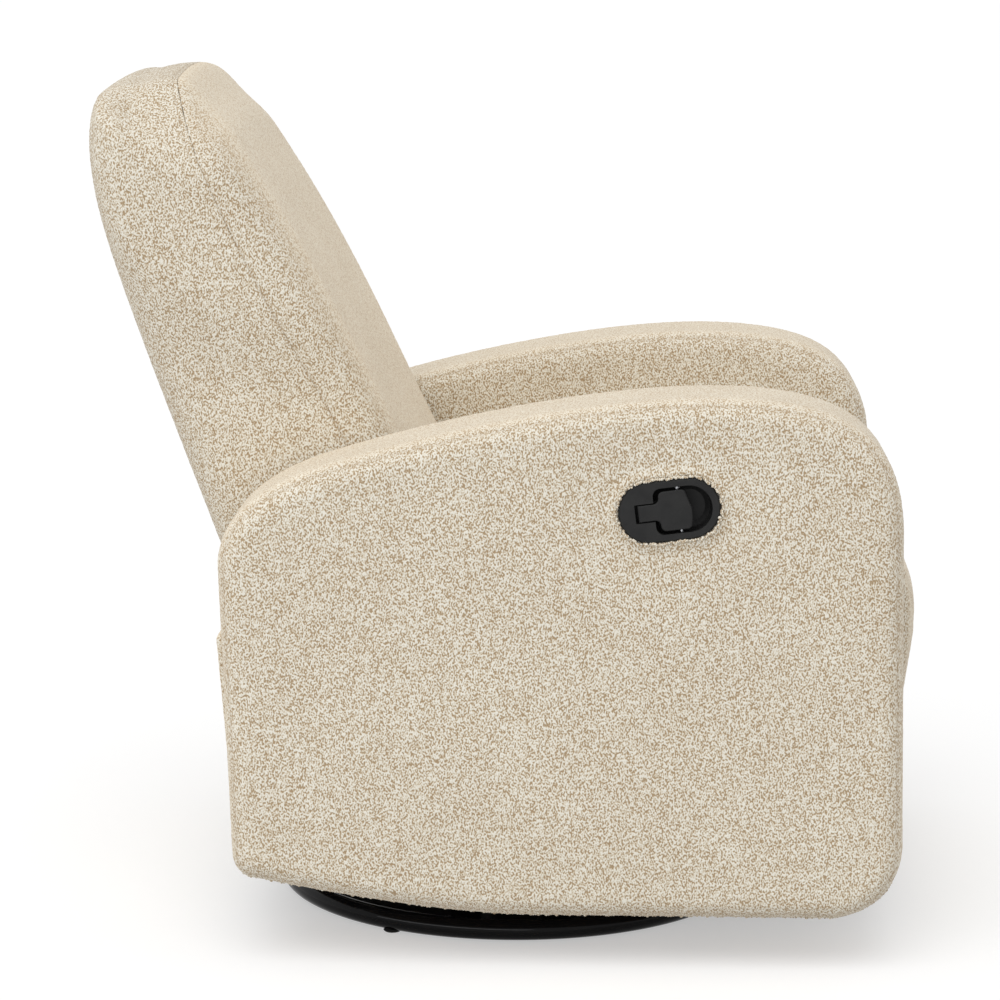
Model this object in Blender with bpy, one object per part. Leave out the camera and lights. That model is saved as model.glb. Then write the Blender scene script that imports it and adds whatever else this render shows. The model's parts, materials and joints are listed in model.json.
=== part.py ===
"""Swivel recliner with a pull handle, a reclining back and a fold-out footrest.

Metres, +Z up, floor at z = 0, the swivel axis on the Z axis. The seat faces -Y,
and +X is the sitter's left. The release handle is in the sitter's right arm.
"""
import math

import bmesh
import bpy
from mathutils import Matrix, Vector

# Clearances
GAP = 0.0003
PIN_PLAY = 0.0005

# Overall sizes
WIDTH = 0.772
ARM_WIDTH = 0.153
SIDE_PLAY = 0.0045

# Arm outline, seen from the side
ARM_FRONT_Y = -0.453
ARM_BROW_Y = -0.4485
ARM_REAR_Y = 0.328
ARM_HEEL_Y = 0.316
ARM_CREST_Y = -0.236
ARM_TOP_Z = 0.662
ARM_BROW_Z = 0.500
ARM_SLOPE_Y = 0.211
ARM_SLOPE_Z = 0.581
ARM_SHOULDER_Z = 0.465
ARM_BOTTOM_Z = 0.058
ARM_LIFT_Y = -0.04
ARM_HEEL_Z = 0.098
ARM_TOE_RADIUS = 0.085
ARM_HEEL_RADIUS = 0.030
ARM_EDGE_RADIUS = 0.026
PADDING = 0.028
BOARD = 0.012
ARM_BASE_RISE = 0.003
ARM_BASE_STEPS = 14
ARM_BOLTS = ((0.10, 0.20), (-0.20, 0.20))

# Seat
SEAT_FRONT_Y = -0.416
SEAT_REAR_Y = 0.049
SEAT_BASE_Z = 0.385
SEAT_TOP_Z = 0.464
SEAT_CROWN = 0.014
SEAT_PULL = 0.012
SEAT_EDGE_RADIUS = 0.030
SEAT_RAIL_WIDTH = 0.026
SEAT_RAIL_HEIGHT = 0.027
SPRING_WIRE = 0.0035
SPRING_COUNT = 3
SPRING_WAVES = 5
SPRING_WAVE_WIDTH = 0.044

# Mechanism side plates
PLATE_THICKNESS = 0.004
PLATE_FRONT_Y = -0.325
PLATE_TAIL_Y = 0.200
PLATE_TAIL_Z = 0.270
PLATE_BOTTOM_Z = 0.101
PLATE_TOP_Z = 0.350
PLATE_EAR = 0.022

# Rear panel
REAR_BOARD_Y = 0.3255
REAR_LEAN = 0.021
REAR_PANEL_THICKNESS = 0.010
REAR_PANEL_CROWN = 0.006
REAR_PANEL_WRAP = 0.0055
REAR_PANEL_LIP = 0.010
REAR_PANEL_BOTTOM_Z = 0.101
REAR_PANEL_TOP_Z = 0.357

# Back, seen from the side
HINGE_Y = 0.160
HINGE_Z = 0.420
BACK_OVERLAP = 0.013
BACK_BOTTOM_Z = 0.452
BACK_TOP_Z = 1.0105
BACK_REAR_TOP_RISE = 0.0025
BACK_FRONT_TOP_DROP = 0.0245
BACK_REAR_BENDS = ((0.344, 0.0), (0.462, 0.569), (0.529, 0.857), (0.469, 1.0))
BACK_SEAM_BENDS = ((0.133, 0.0), (0.222, 0.419), (0.293, 0.489), (0.391, 1.0))
BACK_FRONT_BENDS = ((0.056, 0.0), (0.127, 0.207), (0.218, 0.668), (0.351, 1.0))
BACK_GUSSET_DEPTH = 0.180
BACK_FRONT_DEPTH = 0.065
BACK_TUCK_DEPTH = 0.075
BACK_REAR_PADDING = 0.025
BACK_LENGTH = 0.600
BACK_EDGE_RADIUS = 0.054
BACK_CORNER_RADIUS = 0.095
BACK_CROWN = 0.004
BACK_WIDEN_LOW = 0.30
BACK_WIDEN_HIGH = 0.45
BACK_CORNER_SHARE = 0.80
BACK_WALL = 0.018
BACK_FRAME_WIDTH = 0.024
BACK_FRAME_DEPTH = 0.030
BACK_FRAME_LOW = 0.006
BACK_HOLLOW_RADIUS = 0.012
BACK_CORE_PLAY = 0.006
WEBBING_WIDTH = 0.045
WEBBING_THICKNESS = 0.002
WEBBING_RISES = (0.095, 0.185, 0.275, 0.365)
WEBBING_X = 0.070
SKIRT_RADIUS = 0.175
SKIRT_THICKNESS = 0.012
SKIRT_SWEEP = 30.0
BRACKET_HEIGHT = 0.150
BRACKET_INSET = 0.028

# Footrest board, pad and linkage
FOOT_BOARD_Y = -0.420
FOOT_BOARD_THICKNESS = 0.012
FOOT_BOTTOM_Z = 0.097
FOOT_TOP_Z = 0.436
FOOT_PAD_TOP_Z = 0.450
FOOT_CREASE_Z = 0.262
FOOT_PAD_DEPTH = 0.030
FOOT_UPPER_CROWN = 0.031
FOOT_UPPER_PEAK = 0.39
FOOT_LOWER_CROWN = 0.010
FOOT_LOWER_TUCK = 0.006
FOOT_FULLNESS = 0.5
FOOT_SIDE_DROP = 0.6
FOOT_EDGE_RADIUS = 0.014
LINK_LENGTH = 0.200
LINK_WIDTH = 0.016
LINK_PITCH = 0.006
LINK_THICKNESS = 0.004
LINK_START_Y = -0.290
LINK_START_Z = 0.120
LINK_LEAN = 80.0
LINK_REST_TURNS = (LINK_LEAN, -LINK_LEAN, LINK_LEAN)
GUIDE_ROOT = (0.2422, -0.0167)
GUIDE_TAIL = (0.0400, -0.0100)
GUIDE_PIN_RADIUS = 0.003
GUIDE_HOLE_RADIUS = 0.0064
GUIDE_HEAD_RADIUS = 0.0085
BRACKET_FOOT = 0.022
BRACKET_RISE = 0.010
BRACKET_DROP = 0.060
PIN_RADIUS = 0.004
PIN_HEAD_RADIUS = 0.0065
PIN_HEAD = 0.0012
TORQUE_TUBE_RADIUS = 0.010
TORQUE_TUBE_SHARE = 0.30

# Swivel base
RING_RADIUS = 0.284
RING_TUBE = 0.0125
RING_STEPS = 48
GLIDE_HEIGHT = 0.002
GLIDE_RADIUS = 0.011
GLIDE_COUNT = 4
GLIDE_START = 60.7
PAN_THICKNESS = 0.002
PAN_RIM_Z = 0.018
PAN_HUB_Z = 0.040
PAN_LIP = 0.010
HUB_RADIUS = 0.100
HUB_THICKNESS = 0.006
RACE_RADIUS = 0.062
RACE_WIDTH = 0.022
RACE_THICKNESS = 0.004
BALL_RADIUS = 0.004
BALL_COUNT = 8
BALL_SEAT = 1.28
CAGE_WIDTH = 0.016
CAGE_THICKNESS = 0.001
SWIVEL_PLATE = 0.003
SWIVEL_PLATE_HALF = 0.095
SPINDLE_RADIUS = 0.008
SPINDLE_HEAD_RADIUS = 0.014
NUT_HEIGHT = 0.012
RAIL_Y = 0.058
RAIL_WIDTH = 0.036
RAIL_WALL = 0.003

# Release handle
HANDLE_Y = -0.185
HANDLE_Z = 0.538
HANDLE_TILT = 7.2
BEZEL_LENGTH = 0.116
BEZEL_HEIGHT = 0.070
BEZEL_FLANGE = 0.0055
BEZEL_DEPTH = 0.028
BEZEL_WALL = 0.008
BEZEL_RIM_RADIUS = 0.002
POCKET_DEPTH = 0.024
POCKET_LENGTH = 0.0655
POCKET_HEIGHT = 0.053
POCKET_OFFSET = 0.0158
POCKET_REAR_RADIUS = 0.009
POCKET_SCOOP = 0.008
SLOT_PLAY = 0.0015
SLOT_END_PLAY = 0.0036
PADDLE_REAR = -0.011
PADDLE_LENGTH = 0.0365
PADDLE_HEIGHT = 0.045
PADDLE_THICKNESS = 0.005
PADDLE_PROUD = 0.001
PADDLE_EDGE_RADIUS = 0.0009
PADDLE_CORNER_RADIUS = 0.006
PADDLE_FLARE_RADIUS = 0.006
PADDLE_BROW_RADIUS = 0.0045
PADDLE_BROW_CUT = 0.0055
PADDLE_CHIN_CUT = 0.0015
TONGUE_LENGTH = 0.024
TONGUE_HEIGHT = 0.0185
HANDLE_PIN_OFFSET = 0.011
HANDLE_PIN_RADIUS = 0.002
KNUCKLE_RADIUS = 0.0045
KNUCKLE_HEIGHT = 0.030
KNUCKLE_SINK = 0.0008
COIL_RADIUS = 0.0027
COIL_WIRE = 0.0004
COIL_TURNS = 4
COIL_PLAY = 0.002
CABLE_RADIUS = 0.0026
CABLE_HOLE_RADIUS = 0.007
CABLE_EXIT = (-0.05, 0.24)

# Fasteners
BOLT_RADIUS = 0.004
BOLT_HEAD_RADIUS = 0.0075
BOLT_HEAD = 0.004

# Values that follow from the sizes above
OUTER_X = WIDTH / 2
INNER_X = OUTER_X - ARM_WIDTH
ARM_MID_X = INNER_X + ARM_WIDTH / 2
SEAT_HALF_WIDTH = INNER_X - SIDE_PLAY
BACK_HALF_WIDTH = INNER_X + BACK_OVERLAP
BRACKET_X = INNER_X - BRACKET_INSET
SIDE_PLATE_OUT = INNER_X - GAP
SIDE_PLATE_IN = SIDE_PLATE_OUT - PLATE_THICKNESS
LINK_ONE_OUT = SIDE_PLATE_IN - PLATE_THICKNESS
BACK_CORNER_CUT = BACK_CORNER_RADIUS * (1 - math.sqrt(1 - BACK_CORNER_SHARE ** 2))
HINGE = Vector((0.0, HINGE_Y, HINGE_Z))
SIDES = (("left", 1.0), ("right", -1.0))


# Materials
def material(name, colour, roughness, metallic=0.0):
    mat = bpy.data.materials.new(name)
    mat.use_nodes = True
    shader = mat.node_tree.nodes["Principled BSDF"]
    shader.inputs["Base Color"].default_value = (*colour, 1.0)
    shader.inputs["Roughness"].default_value = roughness
    shader.inputs["Metallic"].default_value = metallic
    mat.diffuse_color = (*colour, 1.0)
    return mat


FABRIC = (0.60, 0.52, 0.41)
PLYWOOD = (0.55, 0.38, 0.22)
BLACK_STEEL = (0.012, 0.012, 0.013)
ZINC = (0.55, 0.56, 0.58)
BLACK_PLASTIC = (0.025, 0.025, 0.025)
RUBBER = (0.02, 0.02, 0.02)


def fabric(name):
    return material(name, FABRIC, 0.95)


def plywood(name):
    return material(name, PLYWOOD, 0.7)


def black_steel(name):
    return material(name, BLACK_STEEL, 0.2, 0.6)


def zinc(name):
    return material(name, ZINC, 0.35, 1.0)


def black_plastic(name):
    return material(name, BLACK_PLASTIC, 0.45)


def rubber(name):
    return material(name, RUBBER, 0.8)


# Mesh helpers
def link_object(name, data, mat):
    obj = bpy.data.objects.new(name, data)
    data.materials.append(mat)
    bpy.context.scene.collection.objects.link(obj)
    return obj


def from_bmesh(name, bm, mat, smooth=None):
    bmesh.ops.recalc_face_normals(bm, faces=bm.faces)
    mesh = bpy.data.meshes.new(name)
    bm.to_mesh(mesh)
    bm.free()
    if smooth is not None:
        mesh.shade_smooth()
        mesh.set_sharp_from_angle(angle=math.radians(smooth))
    return link_object(name, mesh, mat)


def move_origin(obj, point):
    """Put the object's origin on a joint's axis and leave its shape where it is."""
    obj.data.transform(Matrix.Translation(-Vector(point)))
    obj.location = point
    return obj


def add_prism(bm, outline, x0, x1):
    """Extrude a closed (y, z) outline along X from x0 to x1."""
    face = bm.faces.new([bm.verts.new((x0, y, z)) for y, z in outline])
    extruded = bmesh.ops.extrude_face_region(bm, geom=[face])
    moved = [v for v in extruded["geom"] if isinstance(v, bmesh.types.BMVert)]
    bmesh.ops.translate(bm, verts=moved, vec=(x1 - x0, 0, 0))
    return bm


def prism(name, outline, x0, x1, mat):
    return from_bmesh(name, add_prism(bmesh.new(), outline, x0, x1), mat)


def add_box(bm, low, high):
    centre = (Vector(low) + Vector(high)) / 2
    size = Vector(high) - Vector(low)
    matrix = Matrix.Translation(centre) @ Matrix.Diagonal((*size, 1.0))
    bmesh.ops.create_cube(bm, size=1.0, matrix=matrix)
    return bm


def box(name, low, high, mat, bevel=0.0):
    obj = from_bmesh(name, add_box(bmesh.new(), low, high), mat)
    if bevel:
        modifier = obj.modifiers.new("Bevel", "BEVEL")
        modifier.width = bevel
        modifier.segments = 1
    return obj


def add_rod(bm, start, end, radius, sides=16):
    start, end = Vector(start), Vector(end)
    axis = end - start
    turn = Vector((0, 0, 1)).rotation_difference(axis.normalized()).to_matrix().to_4x4()
    matrix = Matrix.Translation((start + end) / 2) @ turn
    bmesh.ops.create_cone(bm, cap_ends=True, segments=sides, radius1=radius, radius2=radius,
                          depth=axis.length, matrix=matrix)
    return bm


def rod(name, start, end, radius, mat, sides=16):
    return from_bmesh(name, add_rod(bmesh.new(), start, end, radius, sides), mat, smooth=40)


def turned(name, profile, mat, sides=48):
    """Turn a closed (radius, z) profile, which stays off the axis, about Z."""
    bm = bmesh.new()
    rings = []
    for k in range(sides):
        a = 2 * math.pi * k / sides
        rings.append([bm.verts.new((r * math.cos(a), r * math.sin(a), z)) for r, z in profile])
    for k in range(sides):
        here, there = rings[k], rings[(k + 1) % sides]
        for i in range(len(profile)):
            j = (i + 1) % len(profile)
            bm.faces.new((here[i], there[i], there[j], here[j]))
    return from_bmesh(name, bm, mat, smooth=30)


def tube(name, points, radius, mat, sides_level=2, cyclic=False):
    curve = bpy.data.curves.new(name, "CURVE")
    curve.dimensions = "3D"
    curve.bevel_depth = radius
    curve.bevel_resolution = sides_level
    curve.use_fill_caps = True
    spline = curve.splines.new("POLY")
    spline.points.add(len(points) - 1)
    for target, point in zip(spline.points, points):
        target.co = (*point, 1.0)
    spline.use_cyclic_u = cyclic
    return link_object(name, curve, mat)


def hide_cutter(obj):
    obj.hide_render = True
    obj.display_type = "WIRE"
    return obj


def subtract(obj, cutter):
    modifier = obj.modifiers.new("Cut", "BOOLEAN")
    modifier.operation = "DIFFERENCE"
    modifier.solver = "EXACT"
    modifier.object = cutter
    return obj


def unite(obj, other):
    modifier = obj.modifiers.new("Join", "BOOLEAN")
    modifier.operation = "UNION"
    modifier.solver = "EXACT"
    modifier.object = other
    return obj


def rods_cutter(name, rods, mat, sides=14):
    bm = bmesh.new()
    for start, end, radius in rods:
        add_rod(bm, start, end, radius, sides)
    return hide_cutter(from_bmesh(name, bm, mat))


# Curves in the (y, z) plane
def bezier(p0, p1, p2, p3, t):
    s = 1 - t
    weights = (s ** 3, 3 * s * s * t, 3 * s * t * t, t ** 3)
    return tuple(sum(w * p[k] for w, p in zip(weights, (p0, p1, p2, p3))) for k in (0, 1))


def bezier_run(p0, p1, p2, p3, count):
    return [bezier(p0, p1, p2, p3, i / count) for i in range(count)]


def arc_run(centre, radius, start, end, count):
    """Points on an arc from start to end degrees, without the last one."""
    points = []
    for i in range(count):
        a = math.radians(start + (end - start) * i / count)
        points.append((centre[0] + radius * math.cos(a), centre[1] + radius * math.sin(a)))
    return points


def inset(outline, distance):
    """Move each point of a closed outline inwards along its normal."""
    area = sum(a[0] * b[1] - b[0] * a[1] for a, b in zip(outline, outline[1:] + outline[:1]))
    turn = 1.0 if area > 0 else -1.0
    moved = []
    for i, point in enumerate(outline):
        before, after = outline[i - 1], outline[(i + 1) % len(outline)]
        along = Vector((after[0] - before[0], after[1] - before[1])).normalized()
        inward = Vector((-along.y, along.x)) * turn
        moved.append((point[0] + inward.x * distance, point[1] + inward.y * distance))
    return moved


def arm_outline():
    """Side view of an arm, from the front face over the crest and round the heel."""
    front, rear, brow = ARM_FRONT_Y, ARM_REAR_Y, ARM_BROW_Y
    crest = (ARM_CREST_Y, ARM_TOP_Z)
    slope = (ARM_SLOPE_Y, ARM_SLOPE_Z)
    brow_rise = (ARM_TOP_Z - ARM_BROW_Z) * 0.74
    points = []
    points += bezier_run((brow, ARM_BROW_Z), (brow, ARM_BROW_Z + brow_rise),
                         (crest[0] + 0.71 * (brow - crest[0]), crest[1]), crest, 8)
    points += bezier_run(crest, (crest[0] + 0.136, crest[1]), (slope[0] - 0.121, slope[1] + 0.039),
                         slope, 7)
    points += bezier_run(slope, (slope[0] + 0.057, slope[1] - 0.019),
                         (rear, ARM_SHOULDER_Z + 0.063), (rear, ARM_SHOULDER_Z), 6)
    heel = (ARM_HEEL_Y - ARM_HEEL_RADIUS, ARM_HEEL_Z + ARM_HEEL_RADIUS)
    heel_top = (ARM_HEEL_Y, heel[1])
    points += [(rear, ARM_SHOULDER_Z)]
    points += [((rear * 2 + heel_top[0]) / 3, (ARM_SHOULDER_Z * 2 + heel_top[1]) / 3)]
    points += arc_run(heel, ARM_HEEL_RADIUS, 0, -90, 4)
    lift = (ARM_LIFT_Y, ARM_BOTTOM_Z)
    under = (heel[0], ARM_HEEL_Z)
    points += bezier_run(under, (under[0] - 0.117, under[1] - 0.022),
                         (lift[0] + 0.10, lift[1]), lift, 5)
    toe = (front + ARM_TOE_RADIUS, ARM_BOTTOM_Z + ARM_TOE_RADIUS)
    points += [lift, ((lift[0] + toe[0]) / 2, ARM_BOTTOM_Z)]
    points += arc_run(toe, ARM_TOE_RADIUS, -90, -180, 6)
    points += [(front, toe[1]), ((front + brow) / 2, (toe[1] + ARM_BROW_Z) / 2)]
    return points


def arm_under(outline, y):
    """Height of the outline's lower edge at y."""
    under = sorted(p for p in outline if p[1] < ARM_HEEL_Z + ARM_HEEL_RADIUS)
    for a, b in zip(under, under[1:]):
        if a[0] <= y <= b[0] and b[0] > a[0]:
            return a[1] + (b[1] - a[1]) * (y - a[0]) / (b[0] - a[0])
    return under[0][1] if y < under[0][0] else under[-1][1]


# Soft forms
def rounded_plate(name, outline, x_mid, half, radius, mat, steps=3):
    """A plate with the given side outline and a soft rounded rim on both faces."""
    bm = bmesh.new()
    rings = []
    for side in (-1, 1):
        turns = range(steps + 1) if side < 0 else range(steps, -1, -1)
        for k in turns:
            a = math.pi / 2 * k / steps
            x = x_mid + side * (half - radius * (1 - math.cos(a)))
            ring = inset(outline, radius * (1 - math.sin(a)))
            rings.append([bm.verts.new((x, y, z)) for y, z in ring])
    for here, there in zip(rings, rings[1:]):
        for i in range(len(here)):
            j = (i + 1) % len(here)
            bm.faces.new((here[i], here[j], there[j], there[i]))
    bm.faces.new(rings[0])
    bm.faces.new(rings[-1])
    return from_bmesh(name, bm, mat, smooth=40)


def edge_stops(half, radius, cells, steps=2):
    """Cut positions across a rounded block: even angles in its edges, even cells between."""
    flat = half - radius
    inner = [-flat + 2 * flat * i / cells for i in range(cells + 1)]
    edge = [flat + radius * math.tan(math.radians(45.0 * (k + 1) / steps)) for k in range(steps)]
    return [-e for e in reversed(edge)] + inner + edge


def block_mesh(bm, half, radius, cells, shape):
    """Add a rounded block of half sizes, each point passed through shape(x, y, z)."""
    stops = [edge_stops(half[k], radius, cells[k]) for k in range(3)]
    last = [len(s) - 1 for s in stops]
    made = {}

    def vert(i, j, k):
        key = (i, j, k)
        if key not in made:
            p = Vector((stops[0][i], stops[1][j], stops[2][k]))
            q = Vector([max(-half[n] + radius, min(half[n] - radius, p[n])) for n in range(3)])
            d = p - q
            made[key] = bm.verts.new(shape(*(q + d.normalized() * radius)))
        return made[key]

    for n in range(3):
        a, b = [m for m in range(3) if m != n]
        for end in (0, last[n]):
            for i in range(last[a]):
                for j in range(last[b]):
                    corners = []
                    for di, dj in ((0, 0), (1, 0), (1, 1), (0, 1)):
                        index = [0, 0, 0]
                        index[n], index[a], index[b] = end, i + di, j + dj
                        corners.append(vert(*index))
                    bm.faces.new(corners)
    return bm


# Arms
def arm_holes(label, side):
    """Cutter for what passes the arm's inner wall: the bolts, and the cable on the right."""
    x0, x1 = SIDE_PLATE_IN - BOARD, INNER_X + PADDING + BOARD * 2
    rods = [((side * x0, y, z), (side * x1, y, z), BOLT_RADIUS + PIN_PLAY) for y, z in ARM_BOLTS]
    if side < 0:
        rods.append(((side * x0, *CABLE_EXIT), (side * x1, *CABLE_EXIT), CABLE_HOLE_RADIUS))
    return rods_cutter(f"cut_arm_holes_{label}", rods, zinc("cutter"))


def build_arm(label, side, holes, handle_cut):
    outline = arm_outline()
    mid = side * ARM_MID_X
    half = ARM_WIDTH / 2
    cover = rounded_plate(f"arm_cover_{label}", outline, mid, half, ARM_EDGE_RADIUS,
                          fabric(f"arm_fabric_{label}"))
    toe_top = ARM_BOTTOM_Z + ARM_TOE_RADIUS + GAP
    cavity = [(y, z if z > toe_top else ARM_BOTTOM_Z - PADDING)
              for y, z in inset(outline, PADDING)]
    hollow = hide_cutter(prism(f"cut_arm_cavity_{label}", cavity, mid - half + PADDING,
                               mid + half - PADDING, plywood("cutter")))
    subtract(cover, hollow)
    subtract(cover, holes)
    low, high = ARM_FRONT_Y + PADDING + GAP * 3, ARM_HEEL_Y - PADDING - GAP * 3
    stops = [low + (high - low) * i / ARM_BASE_STEPS for i in range(ARM_BASE_STEPS + 1)]
    board_line = [(y, max(z, arm_under(outline, y) + ARM_BASE_RISE + BOARD + GAP * 4))
                  for y, z in inset(outline, PADDING + GAP * 4)]
    inner = INNER_X + PADDING + GAP
    outer = OUTER_X - PADDING - GAP
    inner_board = prism(f"arm_inner_board_{label}", board_line, side * inner,
                        side * (inner + BOARD), plywood(f"inner_board_wood_{label}"))
    subtract(inner_board, holes)
    outer_board = prism(f"arm_outer_board_{label}", board_line, side * outer,
                        side * (outer - BOARD), plywood(f"outer_board_wood_{label}"))
    if handle_cut is not None:
        subtract(cover, handle_cut)
        subtract(outer_board, handle_cut)
    base_line = [(y, arm_under(outline, y) + ARM_BASE_RISE) for y in stops]
    base_line += [(y, z + BOARD) for y, z in reversed(base_line)]
    prism(f"arm_base_board_{label}", base_line, side * inner, side * outer,
          plywood(f"base_board_wood_{label}"))


# Mechanism side plates, arm bolts, rear board and panel, seat rails and springs
def build_side_plate(label, side, holes):
    ear = PLATE_EAR
    line = [(PLATE_FRONT_Y, PLATE_BOTTOM_Z), (rear_front(PLATE_BOTTOM_Z) - GAP, PLATE_BOTTOM_Z),
            (rear_front(PLATE_TAIL_Z) - GAP, PLATE_TAIL_Z),
            (PLATE_TAIL_Y, PLATE_TAIL_Z), (HINGE_Y + ear, HINGE_Z - ear)]
    line += arc_run((HINGE_Y, HINGE_Z), ear, 0, 180, 10)
    line += [(HINGE_Y - ear, HINGE_Z), (HINGE_Y - ear, PLATE_TOP_Z),
             (PLATE_FRONT_Y + ear * 2, PLATE_TOP_Z), (PLATE_FRONT_Y, PLATE_TOP_Z - ear * 2)]
    plate = prism(f"mechanism_side_plate_{label}", line, side * SIDE_PLATE_IN,
                  side * SIDE_PLATE_OUT, zinc(f"side_plate_zinc_{label}"))
    subtract(plate, holes)
    bm = bmesh.new()
    root = SIDE_PLATE_OUT - PLATE_THICKNESS / 2
    out, inn = layer(1)
    add_stepped_pin(bm, (LINK_START_Y, LINK_START_Z), side, [
        (root, out + GAP, PIN_HEAD_RADIUS), (out + GAP, inn - GAP, PIN_RADIUS),
        (inn - GAP, inn - GAP - PIN_HEAD, PIN_HEAD_RADIUS)])
    near, far = BRACKET_X + LINK_THICKNESS / 2 + GAP, BRACKET_X - LINK_THICKNESS / 2 - GAP
    add_stepped_pin(bm, (HINGE_Y, HINGE_Z), side, [
        (root, near, PIN_HEAD_RADIUS), (near, far, PIN_RADIUS),
        (far, far - PIN_HEAD, PIN_HEAD_RADIUS)])
    return unite(plate, hide_cutter(from_bmesh(f"join_plate_studs_{label}", bm, zinc("stud"))))


def build_arm_bolts(label, side):
    inner = SIDE_PLATE_IN - GAP
    tip = INNER_X + PADDING + BOARD + GAP
    for where, place in zip(("rear", "front"), ARM_BOLTS):
        bm = bmesh.new()
        add_stepped_pin(bm, place, side, [(inner - BOLT_HEAD, inner, BOLT_HEAD_RADIUS),
                                          (inner, tip, BOLT_RADIUS)])
        from_bmesh(f"arm_bolt_{where}_{label}", bm, zinc(f"arm_bolt_zinc_{where}_{label}"),
                   smooth=40)


def add_stepped_pin(bm, place, side, steps, sides=14):
    """A pin along X at (y, z), turned from (from_x, to_x, radius) steps in order."""
    y, z = place
    rings = []
    for x0, x1, radius in steps:
        for x in (x0, x1):
            ring = []
            for k in range(sides):
                a = 2 * math.pi * k / sides
                ring.append(bm.verts.new((side * x, y + radius * math.cos(a),
                                          z + radius * math.sin(a))))
            rings.append(ring)
    for here, there in zip(rings, rings[1:]):
        for i in range(sides):
            j = (i + 1) % sides
            bm.faces.new((here[i], here[j], there[j], there[i]))
    bm.faces.new(rings[0])
    bm.faces.new(rings[-1])


def rear_front(z):
    """Front face of the leaning rear board at height z."""
    share = (REAR_PANEL_TOP_Z - z) / (REAR_PANEL_TOP_Z - REAR_PANEL_BOTTOM_Z)
    return REAR_BOARD_Y - REAR_LEAN * share


def build_rear():
    """Board across the rear ends of the side plates, and the padded panel wrapped round it."""
    half = SIDE_PLATE_OUT
    low, high = REAR_PANEL_BOTTOM_Z, REAR_PANEL_TOP_Z
    line = [(rear_front(low), low), (rear_front(low) + BOARD, low),
            (rear_front(high) + BOARD, high), (rear_front(high), high)]
    prism("rear_board", line, -half, half, plywood("rear_board_wood"))
    depth, height = REAR_PANEL_THICKNESS, high - low
    wide = half + GAP + REAR_PANEL_WRAP

    def shape(x, y, z):
        crown = math.cos(x / wide * math.pi / 2) * math.cos(z / height * math.pi) if y > 0 else 0
        place_z = (low + high) / 2 + z
        front = rear_front(place_z) + BOARD + GAP
        return (x, front + depth / 2 + y + REAR_PANEL_CROWN * max(crown, 0), place_z)

    bm = block_mesh(bmesh.new(), (wide, depth / 2, height / 2), depth / 3, (6, 1, 4), shape)
    panel = from_bmesh("rear_panel", bm, fabric("rear_panel_fabric"), smooth=50)
    lips = bmesh.new()
    foot, head = low + REAR_PANEL_WRAP, high - REAR_PANEL_WRAP
    near, far = BOARD - REAR_PANEL_LIP, BOARD + depth / 2
    line = [(rear_front(foot) + near, foot), (rear_front(foot) + far, foot),
            (rear_front(head) + far, head), (rear_front(head) + near, head)]
    for _, side in SIDES:
        add_prism(lips, line, side * (half + GAP), side * (wide - GAP))
    return unite(panel, hide_cutter(from_bmesh("join_panel_lips", lips, fabric("lips"))))


def build_seat():
    half = SIDE_PLATE_OUT
    top = SEAT_BASE_Z - GAP - SPRING_WIRE
    low = top - SEAT_RAIL_HEIGHT
    front = SEAT_FRONT_Y + GAP * 12
    rear = SEAT_REAR_Y - SEAT_RAIL_WIDTH
    for name, y0 in (("front", front), ("rear", rear)):
        box(f"seat_{name}_rail", (-half, y0, low), (half, y0 + SEAT_RAIL_WIDTH, top),
            plywood(f"seat_{name}_rail_wood"), 0.002)
    z = SEAT_BASE_Z - SPRING_WIRE / 2
    start, end = front + SEAT_RAIL_WIDTH / 2, rear + SEAT_RAIL_WIDTH / 2
    steps = SPRING_WAVES * 6
    for n, name in enumerate(("right", "middle", "left")):
        x0 = SEAT_HALF_WIDTH * 2 * ((n + 0.5) / SPRING_COUNT - 0.5)
        points = []
        for i in range(steps + 1):
            s = i / steps
            ease = min(1.0, SPRING_WAVES * 2 * s, SPRING_WAVES * 2 * (1 - s))
            swing = math.sin(2 * math.pi * SPRING_WAVES * s) * ease
            points.append((x0 + SPRING_WAVE_WIDTH / 2 * swing, start + (end - start) * s, z))
        tube(f"seat_spring_{name}", points, SPRING_WIRE / 2 - GAP, zinc(f"spring_steel_{name}"), 1)

    centre_y = (SEAT_FRONT_Y + SEAT_REAR_Y) / 2
    centre_z = (SEAT_BASE_Z + SEAT_TOP_Z) / 2
    halves = (SEAT_HALF_WIDTH, (SEAT_REAR_Y - SEAT_FRONT_Y) / 2, (SEAT_TOP_Z - SEAT_BASE_Z) / 2)

    def shape(x, y, z):
        u, v = x / halves[0], y / halves[1]
        crown = SEAT_CROWN * (1 - u ** 4) * (1 - v ** 4)
        pull = 1 - SEAT_PULL * (1 - v * v)
        return (x * pull, centre_y + y, centre_z + z + crown * max(z, 0) / halves[2])

    bm = block_mesh(bmesh.new(), halves, SEAT_EDGE_RADIUS, (8, 8, 1), shape)
    from_bmesh("seat_cushion", bm, fabric("seat_fabric"), smooth=60)


# Back
def back_line(bends, rise, u):
    """Point at share u up a line given by four (y, share of the height) bends."""
    span = BACK_TOP_Z + rise - BACK_BOTTOM_Z
    return bezier(*[(y, BACK_BOTTOM_Z + share * span) for y, share in bends], u)


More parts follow.
